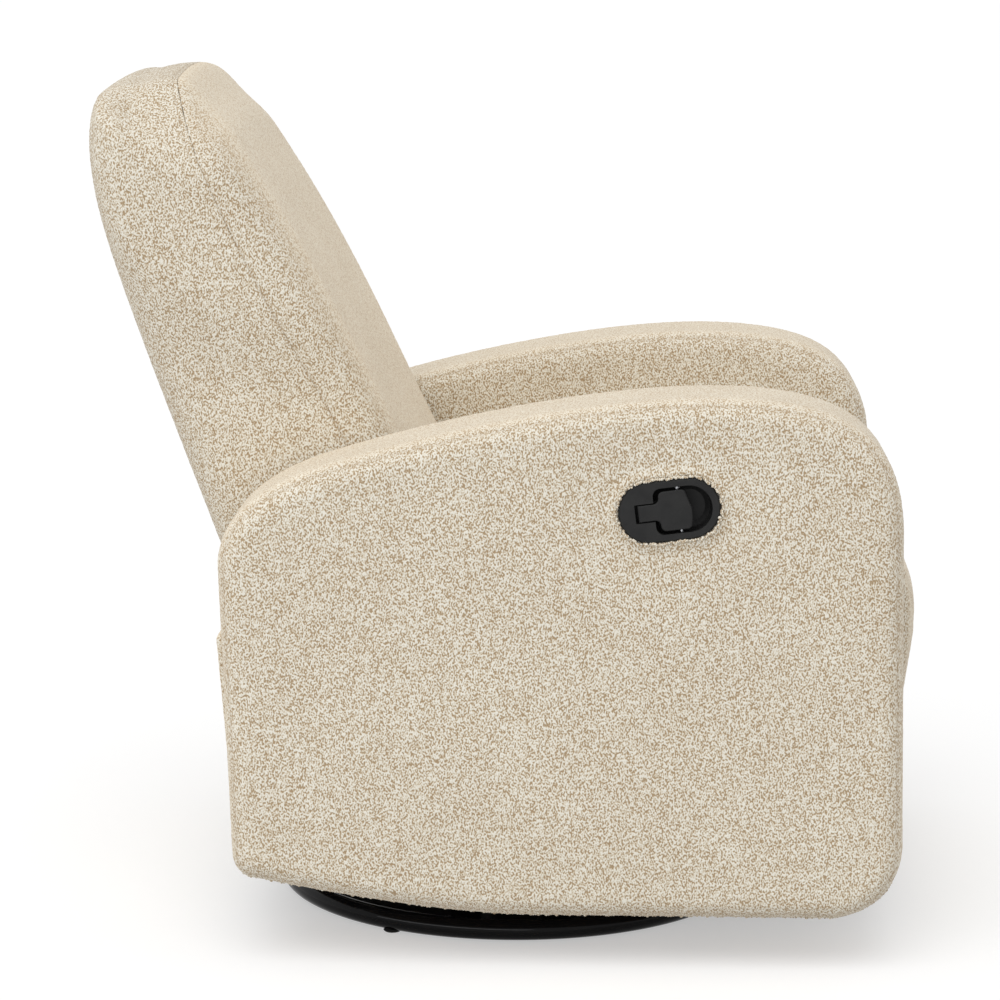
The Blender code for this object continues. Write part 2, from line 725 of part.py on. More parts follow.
def back_point(x, depth, rise):
    """Place a point of the straight back block: depth forward of the seam, rise up it."""
    u = rise / BACK_LENGTH
    seam = back_line(BACK_SEAM_BENDS, 0.0, u)
    if depth <= 0:
        v, end = -depth / BACK_GUSSET_DEPTH, back_line(BACK_REAR_BENDS, BACK_REAR_TOP_RISE, u)
    else:
        v, end = depth / BACK_FRONT_DEPTH, back_line(BACK_FRONT_BENDS, -BACK_FRONT_TOP_DROP, u)
    y = seam[0] + (end[0] - seam[0]) * v
    z = seam[1] + (end[1] - seam[1]) * v * v
    widen = min(1.0, max(0.0, (u - BACK_WIDEN_LOW) / (BACK_WIDEN_HIGH - BACK_WIDEN_LOW)))
    widen = widen * widen * (3 - 2 * widen)
    half = SEAT_HALF_WIDTH + (BACK_HALF_WIDTH - SEAT_HALF_WIDTH) * widen
    over = rise - (BACK_LENGTH - BACK_CORNER_RADIUS)
    if over > 0:
        half -= BACK_CORNER_RADIUS - math.sqrt(max(BACK_CORNER_RADIUS ** 2 - over ** 2, 0.0)) \
            if over < BACK_CORNER_RADIUS * BACK_CORNER_SHARE else BACK_CORNER_CUT
    return (x * half / BACK_HALF_WIDTH, y, z)


def back_block(bm, half_x, rear, front, low, high, radius, cells):
    """A rounded block in the back's own space, bent to the back's profile."""
    mid_d, half_d = (rear + front) / 2, (front - rear) / 2
    mid_r, half_r = (low + high) / 2, (high - low) / 2
    return block_mesh(bm, (half_x, half_d, half_r), radius, cells,
                      lambda x, y, z: back_point(x, mid_d - y, mid_r + z))


def back_half(bm, point, normal):
    """Keep the part of the straight block behind the plane, closed with a face in strips."""
    rises = sorted({round(v.co.z, 6) for v in bm.verts})
    geom = bm.verts[:] + bm.edges[:] + bm.faces[:]
    cut = bmesh.ops.bisect_plane(bm, geom=geom, plane_co=point, plane_no=normal, clear_outer=True)
    edges = [e for e in cut["geom_cut"] if isinstance(e, bmesh.types.BMEdge)]
    bmesh.ops.holes_fill(bm, edges=edges)
    for rise in rises[1:-1]:
        geom = bm.verts[:] + bm.edges[:] + bm.faces[:]
        bmesh.ops.bisect_plane(bm, geom=geom, plane_co=(0, 0, rise), plane_no=(0, 0, 1),
                               dist=GAP / 3)
    return bm


def whole_back():
    """The straight rounded block, flat at its foot, that cover and cushion are both cut from."""
    depth = BACK_GUSSET_DEPTH + BACK_FRONT_DEPTH
    height = BACK_LENGTH + BACK_EDGE_RADIUS
    middle = (BACK_GUSSET_DEPTH - BACK_FRONT_DEPTH) / 2
    bm = block_mesh(bmesh.new(), (BACK_HALF_WIDTH, depth / 2, height / 2), BACK_EDGE_RADIUS,
                    (6, 2, 9), lambda x, y, z: (x, y + middle, z + BACK_LENGTH - height / 2))
    foot = [v for v in bm.verts if v.co.z < -GAP]
    bmesh.ops.delete(bm, geom=foot, context="VERTS")
    bmesh.ops.holes_fill(bm, edges=[e for e in bm.edges if e.is_boundary])
    return bm


def bend_back(bm, crown=0.0):
    for v in bm.verts:
        depth, rise = -v.co.y, v.co.z
        if crown and depth > 0:
            swell = (1 - (v.co.x / BACK_HALF_WIDTH) ** 2) * math.sin(rise / BACK_LENGTH * math.pi)
            depth += crown * max(swell, 0) * depth / BACK_FRONT_DEPTH
        v.co = back_point(v.co.x, depth, rise)
    return bm


def build_back():
    half = BACK_HALF_WIDTH
    inside_top = BACK_LENGTH - BACK_WALL * 1.6
    cover_bm = back_half(whole_back(), (0, GAP, 0), (0, -1, 0))
    cover = from_bmesh("back_cover", bend_back(cover_bm), fabric("back_cover_fabric"), smooth=40)
    hollow_bm = back_block(bmesh.new(), half - BACK_WALL, BACK_REAR_PADDING - BACK_GUSSET_DEPTH,
                           BACK_TUCK_DEPTH, -BACK_TUCK_DEPTH, inside_top, BACK_HOLLOW_RADIUS,
                           (4, 2, 9))
    subtract(cover, hide_cutter(from_bmesh("cut_back_cavity", hollow_bm, plywood("cutter"))))
    move_origin(cover, HINGE)

    cushion_bm = back_half(whole_back(), (0, 0, 0), (0, 1, 0))
    cushion = from_bmesh("back_cushion", bend_back(cushion_bm, BACK_CROWN),
                         fabric("back_cushion_fabric"), smooth=60)
    play = BACK_CORE_PLAY
    tuck_bm = back_block(bmesh.new(), half - BACK_WALL - play, -BACK_TUCK_DEPTH, play * 4,
                         BACK_FRAME_DEPTH, inside_top - play * 3, BACK_HOLLOW_RADIUS, (4, 1, 9))
    unite(cushion, hide_cutter(from_bmesh("join_cushion_core", tuck_bm, fabric("core"))))
    move_origin(cushion, HINGE)

    front = -BACK_TUCK_DEPTH - WEBBING_THICKNESS - GAP * 6
    rear = front - BACK_FRAME_DEPTH
    outer = BRACKET_X - LINK_THICKNESS / 2 - GAP * 2
    inner = outer - BACK_FRAME_WIDTH
    top = inside_top - BACK_CORNER_RADIUS
    build_back_frame(inner, outer, rear, front, top)
    build_back_webbing(inner + BACK_FRAME_WIDTH / 2, front)
    for label, side in SIDES:
        build_back_bracket(label, side, rear, front)
    build_skirt()


def add_back_beam(bm, x0, x1, rear, front, low, high, cuts):
    """A square beam that follows the back's curve."""
    rows = []
    for i in range(cuts + 1):
        rise = low + (high - low) * i / cuts
        row = []
        for x, depth in ((x0, rear), (x1, rear), (x1, front), (x0, front)):
            place = back_point(0, depth, rise)
            row.append(bm.verts.new((x, place[1], place[2])))
        rows.append(row)
    for here, there in zip(rows, rows[1:]):
        for i in range(4):
            j = (i + 1) % 4
            bm.faces.new((here[i], here[j], there[j], there[i]))
    bm.faces.new(rows[0])
    bm.faces.new(rows[-1])
    return bm


def build_back_frame(inner, outer, rear, front, top):
    """Glued wooden frame: two uprights with a rail let in between them at each end."""
    let_in = BACK_FRAME_WIDTH / 4
    bm = bmesh.new()
    for _, side in SIDES:
        add_back_beam(bm, side * inner, side * outer, rear, front, BACK_FRAME_LOW, top, 8)
    frame = from_bmesh("back_frame", bm, plywood("back_frame_wood"))
    bm = bmesh.new()
    inset_depth = BACK_FRAME_DEPTH * 0.1
    for low in (BACK_FRAME_LOW * 2, top - BACK_FRAME_DEPTH - BACK_FRAME_LOW):
        add_back_beam(bm, -inner - let_in, inner + let_in, rear + inset_depth,
                      front - inset_depth, low, low + BACK_FRAME_DEPTH, 1)
    unite(frame, hide_cutter(from_bmesh("join_back_rails", bm, plywood("rail"))))
    return move_origin(frame, HINGE)


def build_back_webbing(reach, front):
    """Elastic webbing across the frame's front face, sewn where the straps cross."""
    near, far = front + GAP, front + GAP + WEBBING_THICKNESS
    bm = bmesh.new()
    for rise in WEBBING_RISES:
        add_back_beam(bm, -reach, reach, near, far, rise, rise + WEBBING_WIDTH, 1)
    webbing = from_bmesh("back_webbing", bm, rubber("webbing_elastic"))
    bm = bmesh.new()
    low, high = WEBBING_RISES[0] + GAP * 3, WEBBING_RISES[-1] + WEBBING_WIDTH - GAP * 3
    for x in (-WEBBING_X, WEBBING_X):
        add_back_beam(bm, x - WEBBING_WIDTH / 3, x + WEBBING_WIDTH / 3, near + GAP, far + GAP * 3,
                      low, high, 10)
    unite(webbing, hide_cutter(from_bmesh("join_webbing", bm, rubber("strap"))))
    return move_origin(webbing, HINGE)


def build_back_bracket(label, side, rear, front):
    """Steel strap from the hinge stud up the outer face of the back's upright."""
    boss = PLATE_EAR * 0.8
    edge = BACK_FRAME_DEPTH * 0.1
    corners = [back_point(0, depth, rise)[1:] for depth, rise in (
        (front - edge, BACK_FRAME_DEPTH), (front - edge, BRACKET_HEIGHT),
        (rear + edge, BRACKET_HEIGHT), (rear + edge, BACK_FRAME_DEPTH))]
    line = corners[1:] + arc_run((HINGE_Y, HINGE_Z), boss, 0, -180, 10) \
        + [(HINGE_Y - boss, HINGE_Z), corners[0]]
    near, far = BRACKET_X - LINK_THICKNESS / 2, BRACKET_X + LINK_THICKNESS / 2
    bracket = prism(f"back_bracket_{label}", line, side * near, side * far,
                    zinc(f"back_bracket_zinc_{label}"))
    subtract(bracket, rods_cutter(f"cut_back_bracket_{label}", [
        ((side * (near - BOARD), HINGE_Y, HINGE_Z), (side * (far + BOARD), HINGE_Y, HINGE_Z),
         PIN_RADIUS + PIN_PLAY)], zinc("cutter")))
    return move_origin(bracket, HINGE)


def build_skirt():
    """Curved board below the back, with the hinge as its centre, so it slides past the panel."""
    top = BACK_BOTTOM_Z - GAP * 2
    start = math.degrees(math.asin((top - HINGE_Z) / SKIRT_RADIUS)) - 1.0
    end = start - SKIRT_SWEEP
    steps = 9
    line = []
    for radius, a0, a1 in ((SKIRT_RADIUS, start, end), (SKIRT_RADIUS - SKIRT_THICKNESS, end, start)):
        for i in range(steps + 1):
            a = math.radians(a0 + (a1 - a0) * i / steps)
            line.append((HINGE_Y + radius * math.cos(a), HINGE_Z + radius * math.sin(a)))
    line[0] = (line[0][0], top)
    line[-1] = (line[-1][0], top)
    half = SEAT_HALF_WIDTH - GAP
    return move_origin(prism("back_skirt", line, -half, half, fabric("skirt_fabric")), HINGE)


# Footrest
def link_way(turn):
    a = math.radians(turn)
    return Vector((-math.cos(a), math.sin(a)))


def link_place(origin, turn, along, across):
    way = link_way(turn)
    return origin + way * along + Vector((way.y, -way.x)) * across


def link_joints():
    points = [Vector((LINK_START_Y, LINK_START_Z))]
    for turn in LINK_REST_TURNS:
        points.append(points[-1] + link_way(turn) * LINK_LENGTH)
    return points


def hull_outline(discs, steps=7):
    """Closed outline round a set of (centre, radius) discs."""
    cloud = []
    for centre, radius in discs:
        for k in range(steps * 2):
            a = math.pi * k / steps
            cloud.append((centre[0] + radius * math.cos(a), centre[1] + radius * math.sin(a)))
    cloud = sorted(set((round(p[0], 7), round(p[1], 7)) for p in cloud))

    def half_hull(points):
        chain = []
        for p in points:
            while len(chain) > 1 and ((chain[-1][0] - chain[-2][0]) * (p[1] - chain[-2][1])
                                      - (chain[-1][1] - chain[-2][1]) * (p[0] - chain[-2][0])) <= 0:
                chain.pop()
            chain.append(p)
        return chain[:-1]

    return half_hull(cloud) + half_hull(cloud[::-1])


def layer(number):
    """Outer and inner |X| of a linkage layer, counted inwards from the side plate."""
    out = LINK_ONE_OUT - LINK_PITCH * (number - 1)
    return out, out - LINK_THICKNESS


def build_link(name, number, side, discs, holes, studs, origin):
    """A flat bar with pivot holes, and studs that carry the bar of the next layer out or in."""
    out, inn = layer(number)
    link = prism(name, hull_outline(discs), side * out, side * inn, zinc(name + "_zinc"))
    rods = [((side * (inn - BOARD), p[0], p[1]), (side * (out + BOARD), p[0], p[1]), radius)
            for p, radius in holes]
    if rods:
        subtract(link, rods_cutter("cut_" + name, rods, zinc("cutter")))
    if studs:
        bm = bmesh.new()
        for place, way, radius, head in studs:
            add_stud(bm, place, side, number, way, radius, head)
        unite(link, hide_cutter(from_bmesh("join_" + name, bm, zinc("stud"))))
    return move_origin(link, (0, origin[0], origin[1]))


def add_stud(bm, place, side, number, way, radius, head):
    """A stud from the bar of one layer through the next, way +1 outwards or -1 inwards."""
    out, inn = layer(number)
    there = layer(number - way)
    root = (out + inn) / 2
    near, far = (there[1] - GAP, there[0] + GAP) if way > 0 else (there[0] + GAP, there[1] - GAP)
    add_stepped_pin(bm, place, side, [(root, near, head), (near, far, radius),
                                      (far, far + way * PIN_HEAD, head)])


def build_footrest():
    a, b, c, d = link_joints()
    half = LINK_WIDTH / 2
    hole = PIN_RADIUS + PIN_PLAY
    guide_root = link_place(a, LINK_REST_TURNS[0], *GUIDE_ROOT)
    guide_tail = link_place(c, LINK_REST_TURNS[2], *GUIDE_TAIL)
    boss = GUIDE_HOLE_RADIUS + half / 2
    pin, head = PIN_RADIUS, PIN_HEAD_RADIUS
    for label, side in SIDES:
        build_link(f"footrest_rear_link_{label}", 1, side,
                   [(a, half * 1.4), (b, half), (guide_root, half)], [(a, hole)],
                   [(b, -1, pin, head), (guide_root, -1, pin, head)], a)
        build_link(f"footrest_middle_link_{label}", 2, side, [(b, half), (c, half)],
                   [(b, hole), (c, hole)], [], b)
        build_link(f"footrest_guide_link_{label}", 2, side,
                   [(guide_root, half), (guide_tail, boss)],
                   [(guide_root, hole), (guide_tail, GUIDE_HOLE_RADIUS)], [], guide_root)
        build_link(f"footrest_front_link_{label}", 3, side,
                   [(guide_tail, half), (c, half), (d, half)], [(d, hole)],
                   [(c, 1, pin, head), (guide_tail, 1, GUIDE_PIN_RADIUS, GUIDE_HEAD_RADIUS)], c)
        build_board_bracket(label, side, d)
    place = a + (b - a) * TORQUE_TUBE_SHARE
    inner = layer(1)[1] - GAP
    shaft = rod("footrest_torque_tube", (-inner, *place), (inner, *place), TORQUE_TUBE_RADIUS,
                black_steel("torque_tube_paint"))
    move_origin(shaft, (0, *a))
    build_foot_board(d)


def build_board_bracket(label, side, d):
    """Angle bracket: a web that carries the pivot stud and a foot flat on the footrest board."""
    out, inn = layer(4)
    back_y = FOOT_BOARD_Y + GAP
    web = [(back_y, d[1] + BRACKET_RISE)]
    web += arc_run(d, LINK_WIDTH / 2 + GAP * 3, 80, -80, 9) + [(back_y, d[1] - BRACKET_DROP)]
    name = f"footrest_bracket_{label}"
    bracket = prism(name, web, side * out, side * inn, zinc(name + "_zinc"))
    x0, x1 = sorted((side * (inn + LINK_THICKNESS / 2), side * (inn - BRACKET_FOOT)))
    foot = hide_cutter(box(f"join_bracket_foot_{label}",
                           (x0, back_y + GAP / 2, d[1] - BRACKET_DROP + GAP),
                           (x1, back_y + LINK_THICKNESS, d[1] + BRACKET_RISE - GAP), zinc("foot")))
    unite(bracket, foot)
    bm = bmesh.new()
    add_stud(bm, d, side, 4, 1, PIN_RADIUS, PIN_HEAD_RADIUS)
    unite(bracket, hide_cutter(from_bmesh(f"join_bracket_stud_{label}", bm, zinc("stud"))))
    return move_origin(bracket, (0, *d))


def build_foot_board(d):
    half = SEAT_HALF_WIDTH
    trim = SIDE_PLAY
    board = box("footrest_board", (-half + trim, FOOT_BOARD_Y - FOOT_BOARD_THICKNESS, FOOT_BOTTOM_Z),
                (half - trim, FOOT_BOARD_Y, FOOT_TOP_Z - trim), plywood("footrest_board_wood"))
    move_origin(board, (0, *d))
    face_y = FOOT_BOARD_Y - FOOT_BOARD_THICKNESS - GAP
    top, low, crease = FOOT_PAD_TOP_Z, FOOT_BOTTOM_Z, FOOT_CREASE_Z
    mid_z, half_z = (top + low) / 2, (top - low) / 2
    lean = math.log(0.5) / math.log(FOOT_UPPER_PEAK)

    def shape(x, y, z):
        place_z = mid_z + z
        forward = max(0.0, -y) / (FOOT_PAD_DEPTH / 2)
        if place_z > crease:
            s, crown, tuck = ((place_z - crease) / (top - crease)) ** lean, FOOT_UPPER_CROWN, 0
        else:
            s, crown, tuck = (crease - place_z) / (crease - low), FOOT_LOWER_CROWN, 1
            tuck = FOOT_LOWER_TUCK * min(1.0, s * 4)
        swell = crown * max(0.0, math.sin(math.pi * min(s, 1.0))) ** FOOT_FULLNESS - tuck
        swell *= 1 - FOOT_SIDE_DROP * (x / half) ** 4
        return (x, face_y - FOOT_PAD_DEPTH / 2 + y - swell * forward, place_z)

    bm = block_mesh(bmesh.new(), (half, FOOT_PAD_DEPTH / 2, half_z), FOOT_EDGE_RADIUS,
                    (6, 1, 18), shape)
    pad = from_bmesh("footrest_pad", bm, fabric("footrest_fabric"), smooth=60)
    move_origin(pad, (0, *d))


# Swivel base
def build_base():
    ring_z = GLIDE_HEIGHT + RING_TUBE
    bm = bmesh.new()
    around, across = RING_STEPS, 10
    ring_inside = RING_RADIUS - RING_TUBE * math.cos(math.pi / across)
    rings = []
    for i in range(around):
        a = 2 * math.pi * i / around
        ring = []
        for j in range(across):
            b = 2 * math.pi * j / across + math.pi / across
            r = RING_RADIUS + RING_TUBE * math.cos(b)
            ring.append(bm.verts.new((r * math.cos(a), r * math.sin(a),
                                      ring_z + RING_TUBE * math.sin(b))))
        rings.append(ring)
    for i in range(around):
        here, there = rings[i], rings[(i + 1) % around]
        for j in range(across):
            k = (j + 1) % across
            bm.faces.new((here[j], here[k], there[k], there[j]))
    from_bmesh("base_ring", bm, black_steel("ring_paint"), smooth=40)

    hub_top = PAN_HUB_Z
    rim = ring_inside - GAP * 1.5
    slope = (hub_top - PAN_RIM_Z) / (rim - HUB_RADIUS)
    turned("base_pan", [
        (SPINDLE_RADIUS * 2, hub_top - PAN_THICKNESS), (HUB_RADIUS, hub_top - PAN_THICKNESS),
        (rim - PAN_LIP, PAN_RIM_Z + slope * PAN_LIP - PAN_THICKNESS), (rim, PAN_RIM_Z - PAN_THICKNESS),
        (rim, PAN_RIM_Z), (rim - PAN_LIP, PAN_RIM_Z + slope * PAN_LIP), (HUB_RADIUS, hub_top),
        (SPINDLE_RADIUS * 2, hub_top)], black_steel("pan_paint"), around)

    z0 = hub_top + GAP
    z1 = z0 + HUB_THICKNESS
    bore = SPINDLE_RADIUS + PIN_PLAY
    race_in, race_out = RACE_RADIUS - RACE_WIDTH / 2, RACE_RADIUS + RACE_WIDTH / 2
    groove = BALL_RADIUS * 0.8
    floor = z1 + RACE_THICKNESS * 0.5
    turned("base_hub", [
        (bore, z0), (HUB_RADIUS, z0), (HUB_RADIUS, z1), (race_out, z1),
        (race_out, z1 + RACE_THICKNESS), (RACE_RADIUS + groove, z1 + RACE_THICKNESS),
        (RACE_RADIUS, floor), (RACE_RADIUS - groove, z1 + RACE_THICKNESS),
        (race_in, z1 + RACE_THICKNESS), (race_in, z1), (bore, z1)], black_steel("hub_paint"), 32)
    ball_z = floor + BALL_RADIUS * BALL_SEAT
    build_bearing(ball_z)
    plate_low = 2 * ball_z - z1
    plate_top = plate_low + SWIVEL_PLATE
    build_swivel_frame(plate_low, plate_top, ball_z, race_in, race_out, groove)
    bolt_low = hub_top - PAN_THICKNESS - GAP
    thread = SPINDLE_RADIUS * 0.82
    nut = NUT_HEIGHT
    bm = bmesh.new()
    add_turned_pin(bm, [(bolt_low - SPINDLE_RADIUS, bolt_low, SPINDLE_HEAD_RADIUS),
                        (bolt_low, plate_top, SPINDLE_RADIUS),
                        (plate_top, plate_top + nut + PAN_THICKNESS, thread)])
    from_bmesh("swivel_spindle", bm, zinc("spindle_steel"), smooth=40)
    low = plate_top + GAP
    turned("spindle_nut", [(thread + GAP, low), (SPINDLE_HEAD_RADIUS, low),
                           (SPINDLE_HEAD_RADIUS, low + nut), (thread + GAP, low + nut)],
           zinc("nut_steel"), 18)
    for k in range(GLIDE_COUNT):
        a = math.radians(GLIDE_START + 360 * k / GLIDE_COUNT)
        bm = bmesh.new()
        place = Matrix.Translation((RING_RADIUS * math.cos(a), RING_RADIUS * math.sin(a),
                                    (GLIDE_HEIGHT - GAP) / 2))
        bmesh.ops.create_cone(bm, cap_ends=True, segments=16, radius1=GLIDE_RADIUS * 0.85,
                              radius2=GLIDE_RADIUS, depth=GLIDE_HEIGHT - GAP, matrix=place)
        from_bmesh(f"foot_glide_{k + 1}", bm, rubber(f"glide_rubber_{k + 1}"), smooth=40)


def build_bearing(ball_z):
    """Flat cage ring with the balls held in it."""
    half, thick = CAGE_WIDTH / 2, CAGE_THICKNESS / 2
    cage = turned("bearing_cage", [
        (RACE_RADIUS - half, ball_z - thick), (RACE_RADIUS + half, ball_z - thick),
        (RACE_RADIUS + half, ball_z + thick), (RACE_RADIUS - half, ball_z + thick)],
        zinc("cage_steel"), 36)
    bm = bmesh.new()
    for k in range(BALL_COUNT):
        a = 2 * math.pi * (k + 0.37) / BALL_COUNT
        place = Matrix.Translation((RACE_RADIUS * math.cos(a), RACE_RADIUS * math.sin(a), ball_z))
        bmesh.ops.create_icosphere(bm, subdivisions=2, radius=BALL_RADIUS, matrix=place)
    return unite(cage, hide_cutter(from_bmesh("join_balls", bm, zinc("ball_steel"))))


def build_swivel_frame(plate_low, plate_top, ball_z, race_in, race_out, groove):
    """Welded frame: a plate with the upper race under it and two channels across it."""
    bm = add_box(bmesh.new(), (-SWIVEL_PLATE_HALF, -SWIVEL_PLATE_HALF, plate_low),
                 (SWIVEL_PLATE_HALF, SWIVEL_PLATE_HALF, plate_top))
    frame = from_bmesh("swivel_frame", bm, black_steel("swivel_frame_paint"))
    sink = SWIVEL_PLATE / 2
    low = plate_low - RACE_THICKNESS
    race = turned("join_upper_race", [
        (race_in, plate_low + sink), (race_in, low), (RACE_RADIUS - groove, low),
        (RACE_RADIUS, low + RACE_THICKNESS * 0.5), (RACE_RADIUS + groove, low),
        (race_out, low), (race_out, plate_low + sink)], zinc("race_steel"), 32)
    unite(frame, hide_cutter(race))
    half = SIDE_PLATE_OUT - GAP
    top = PLATE_BOTTOM_Z - GAP
    z0 = plate_top - sink
    rails = bmesh.new()
    for y in (-RAIL_Y, RAIL_Y):
        y0, y1 = y - RAIL_WIDTH / 2, y + RAIL_WIDTH / 2
        floor = z0 + RAIL_WALL
        add_prism(rails, [(y0, z0), (y1, z0), (y1, top), (y1 - RAIL_WALL, top),
                          (y1 - RAIL_WALL, floor), (y0 + RAIL_WALL, floor), (y0 + RAIL_WALL, top),
                          (y0, top)], -half, half)
    unite(frame, hide_cutter(from_bmesh("join_rails", rails, black_steel("rail"))))
    subtract(frame, rods_cutter("cut_swivel_frame", [((0, 0, 0), (0, 0, top),
                                                      SPINDLE_RADIUS + PIN_PLAY)],
                                zinc("cutter"), 24))
    return frame


def add_turned_pin(bm, steps, sides=20):
    """A pin on the Z axis, turned from (from_z, to_z, radius) steps in order."""
    rings = []
    for z0, z1, radius in steps:
        for z in (z0, z1):
            rings.append([bm.verts.new((radius * math.cos(2 * math.pi * k / sides),
                                        radius * math.sin(2 * math.pi * k / sides), z))
                          for k in range(sides)])
    for here, there in zip(rings, rings[1:]):
        for i in range(sides):
            j = (i + 1) % sides
            bm.faces.new((here[i], here[j], there[j], there[i]))
    bm.faces.new(rings[0])
    bm.faces.new(rings[-1])


# Release handle
def handle_frame():
    """Origin on the arm's outer face; columns: forward along the plate, up across it, outward."""
    tilt = math.radians(HANDLE_TILT)
    forward = Vector((0, -math.cos(tilt), math.sin(tilt)))
    upward = Vector((0, math.sin(tilt), math.cos(tilt)))
    outward = Vector((-1, 0, 0))
    origin = Vector((-OUTER_X - GAP, HANDLE_Y, HANDLE_Z))
    return Matrix((
        (forward.x, upward.x, outward.x, origin.x), (forward.y, upward.y, outward.y, origin.y),
        (forward.z, upward.z, outward.z, origin.z), (0, 0, 0, 1)))


def stadium(length, height, steps=10, offset=0.0):
    r = height / 2
    flat = (length - height) / 2
    points = []
    for k in range(steps + 1):
        a = -math.pi / 2 + math.pi * k / steps
        points.append((offset + flat + r * math.cos(a), r * math.sin(a)))
    for k in range(steps + 1):
        a = math.pi / 2 + math.pi * k / steps
        points.append((offset - flat + r * math.cos(a), r * math.sin(a)))
    return points


def add_loft(bm, sections):
    """Join closed (u, v) sections at heights w with faces and cap both ends."""
    rings = [[bm.verts.new((u, v, w)) for u, v in line] for line, w in sections]
    for here, there in zip(rings, rings[1:]):
        for i in range(len(here)):
            j = (i + 1) % len(here)
            bm.faces.new((here[i], here[j], there[j], there[i]))
    bm.faces.new(rings[0])
    bm.faces.new(rings[-1])
    return bm


def handle_piece(name, bm, mat, smooth=40):
    bm.transform(handle_frame())
    return from_bmesh(name, bm, mat, smooth)


def corner_run(u, v, radius, start, end, steps=4):
    """Points on the corner arc round (u, v) from start to end degrees, both included."""
    return arc_run((u, v), radius, start, end + (end - start) / steps, steps + 1)


def rounded_rect(low, high, rear_radius, front_radius, steps=4):
    """Rectangle from low to high in (u, v) with its own corner radius at each end."""
    rear, front = rear_radius, front_radius
    points = corner_run(high[0] - front, low[1] + front, front, -90, 0, steps)
    points += corner_run(high[0] - front, high[1] - front, front, 0, 90, steps)
    points += corner_run(low[0] + rear, high[1] - rear, rear, 90, 180, steps)
    points += corner_run(low[0] + rear, low[1] + rear, rear, 180, 270, steps)
    return points


def pocket_outline(shrink):
    """Finger pocket: a half round at the front, rounded corners at the rear."""
    rear = POCKET_OFFSET - POCKET_LENGTH / 2 + shrink
    front = POCKET_OFFSET + POCKET_LENGTH / 2 - shrink
    half = POCKET_HEIGHT / 2 - shrink
    return rounded_rect((rear, -half), (front, half), POCKET_REAR_RADIUS, half * 0.98, 7)


def paddle_outline(shrink):
    """Outline of the paddle: a slim tongue at the rear that flares out into the head."""
    rear, front = PADDLE_REAR + shrink, PADDLE_REAR + PADDLE_LENGTH - shrink
    half, slim = PADDLE_HEIGHT / 2 - shrink, TONGUE_HEIGHT / 2 - shrink
    tail = PADDLE_REAR - TONGUE_LENGTH + shrink
    flare, corner, brow = PADDLE_FLARE_RADIUS, PADDLE_CORNER_RADIUS, PADDLE_BROW_RADIUS
    points = corner_run(front - corner - PADDLE_CHIN_CUT, corner - half, corner, -90, -15)
    points += [(front - PADDLE_CHIN_CUT * 0.15, -half * 0.40), (front, 0.0)]
    points += corner_run(front - brow - PADDLE_BROW_CUT, half - brow, brow, 25, 90)
    points += corner_run(rear + corner, half - corner, corner, 90, 180)
    points += corner_run(rear - flare, slim + flare, flare, 0, -90)
    points += [(tail, slim), (tail, -slim)]
    points += corner_run(rear - flare, -slim - flare, flare, 90, 0)
    points += corner_run(rear + corner, corner - half, corner, 180, 270)
    return points


def build_bezel():
    """Moulded plate with a cup behind it, and in it the finger pocket and the tongue's slot."""
    cup = stadium(BEZEL_LENGTH - BEZEL_WALL * 2, BEZEL_HEIGHT - BEZEL_WALL * 1.5)
    rim = BEZEL_RIM_RADIUS
    plate = stadium(BEZEL_LENGTH, BEZEL_HEIGHT)
    face = stadium(BEZEL_LENGTH - rim * 2, BEZEL_HEIGHT - rim * 2)
    bm = bmesh.new()
    add_loft(bm, [(cup, BEZEL_FLANGE - BEZEL_DEPTH), (cup, 0), (plate, 0),
                  (plate, BEZEL_FLANGE - rim), (face, BEZEL_FLANGE)])
    bezel = handle_piece("handle_bezel", bm, black_plastic("bezel_plastic"))
    floor, above = BEZEL_FLANGE - POCKET_DEPTH, BEZEL_FLANGE * 2
    bm = bmesh.new()
    add_loft(bm, [(pocket_outline(POCKET_SCOOP), floor),
                  (pocket_outline(POCKET_SCOOP * 0.3), floor + POCKET_SCOOP * 0.5),
                  (pocket_outline(0.0), floor + POCKET_SCOOP), (pocket_outline(0.0), above)])
    subtract(bezel, hide_cutter(handle_piece("cut_handle_pocket", bm, zinc("cutter"))))
    slot_half = TONGUE_HEIGHT / 2 + SLOT_PLAY
    corner = BEZEL_RIM_RADIUS / 2
    slot = rounded_rect((PADDLE_REAR - TONGUE_LENGTH - SLOT_END_PLAY, -slot_half),
                        (PADDLE_REAR, slot_half), corner, corner)
    bm = bmesh.new()
    add_loft(bm, [(slot, floor + GAP), (slot, above)])
    subtract(bezel, hide_cutter(handle_piece("cut_handle_slot", bm, zinc("cutter"))))


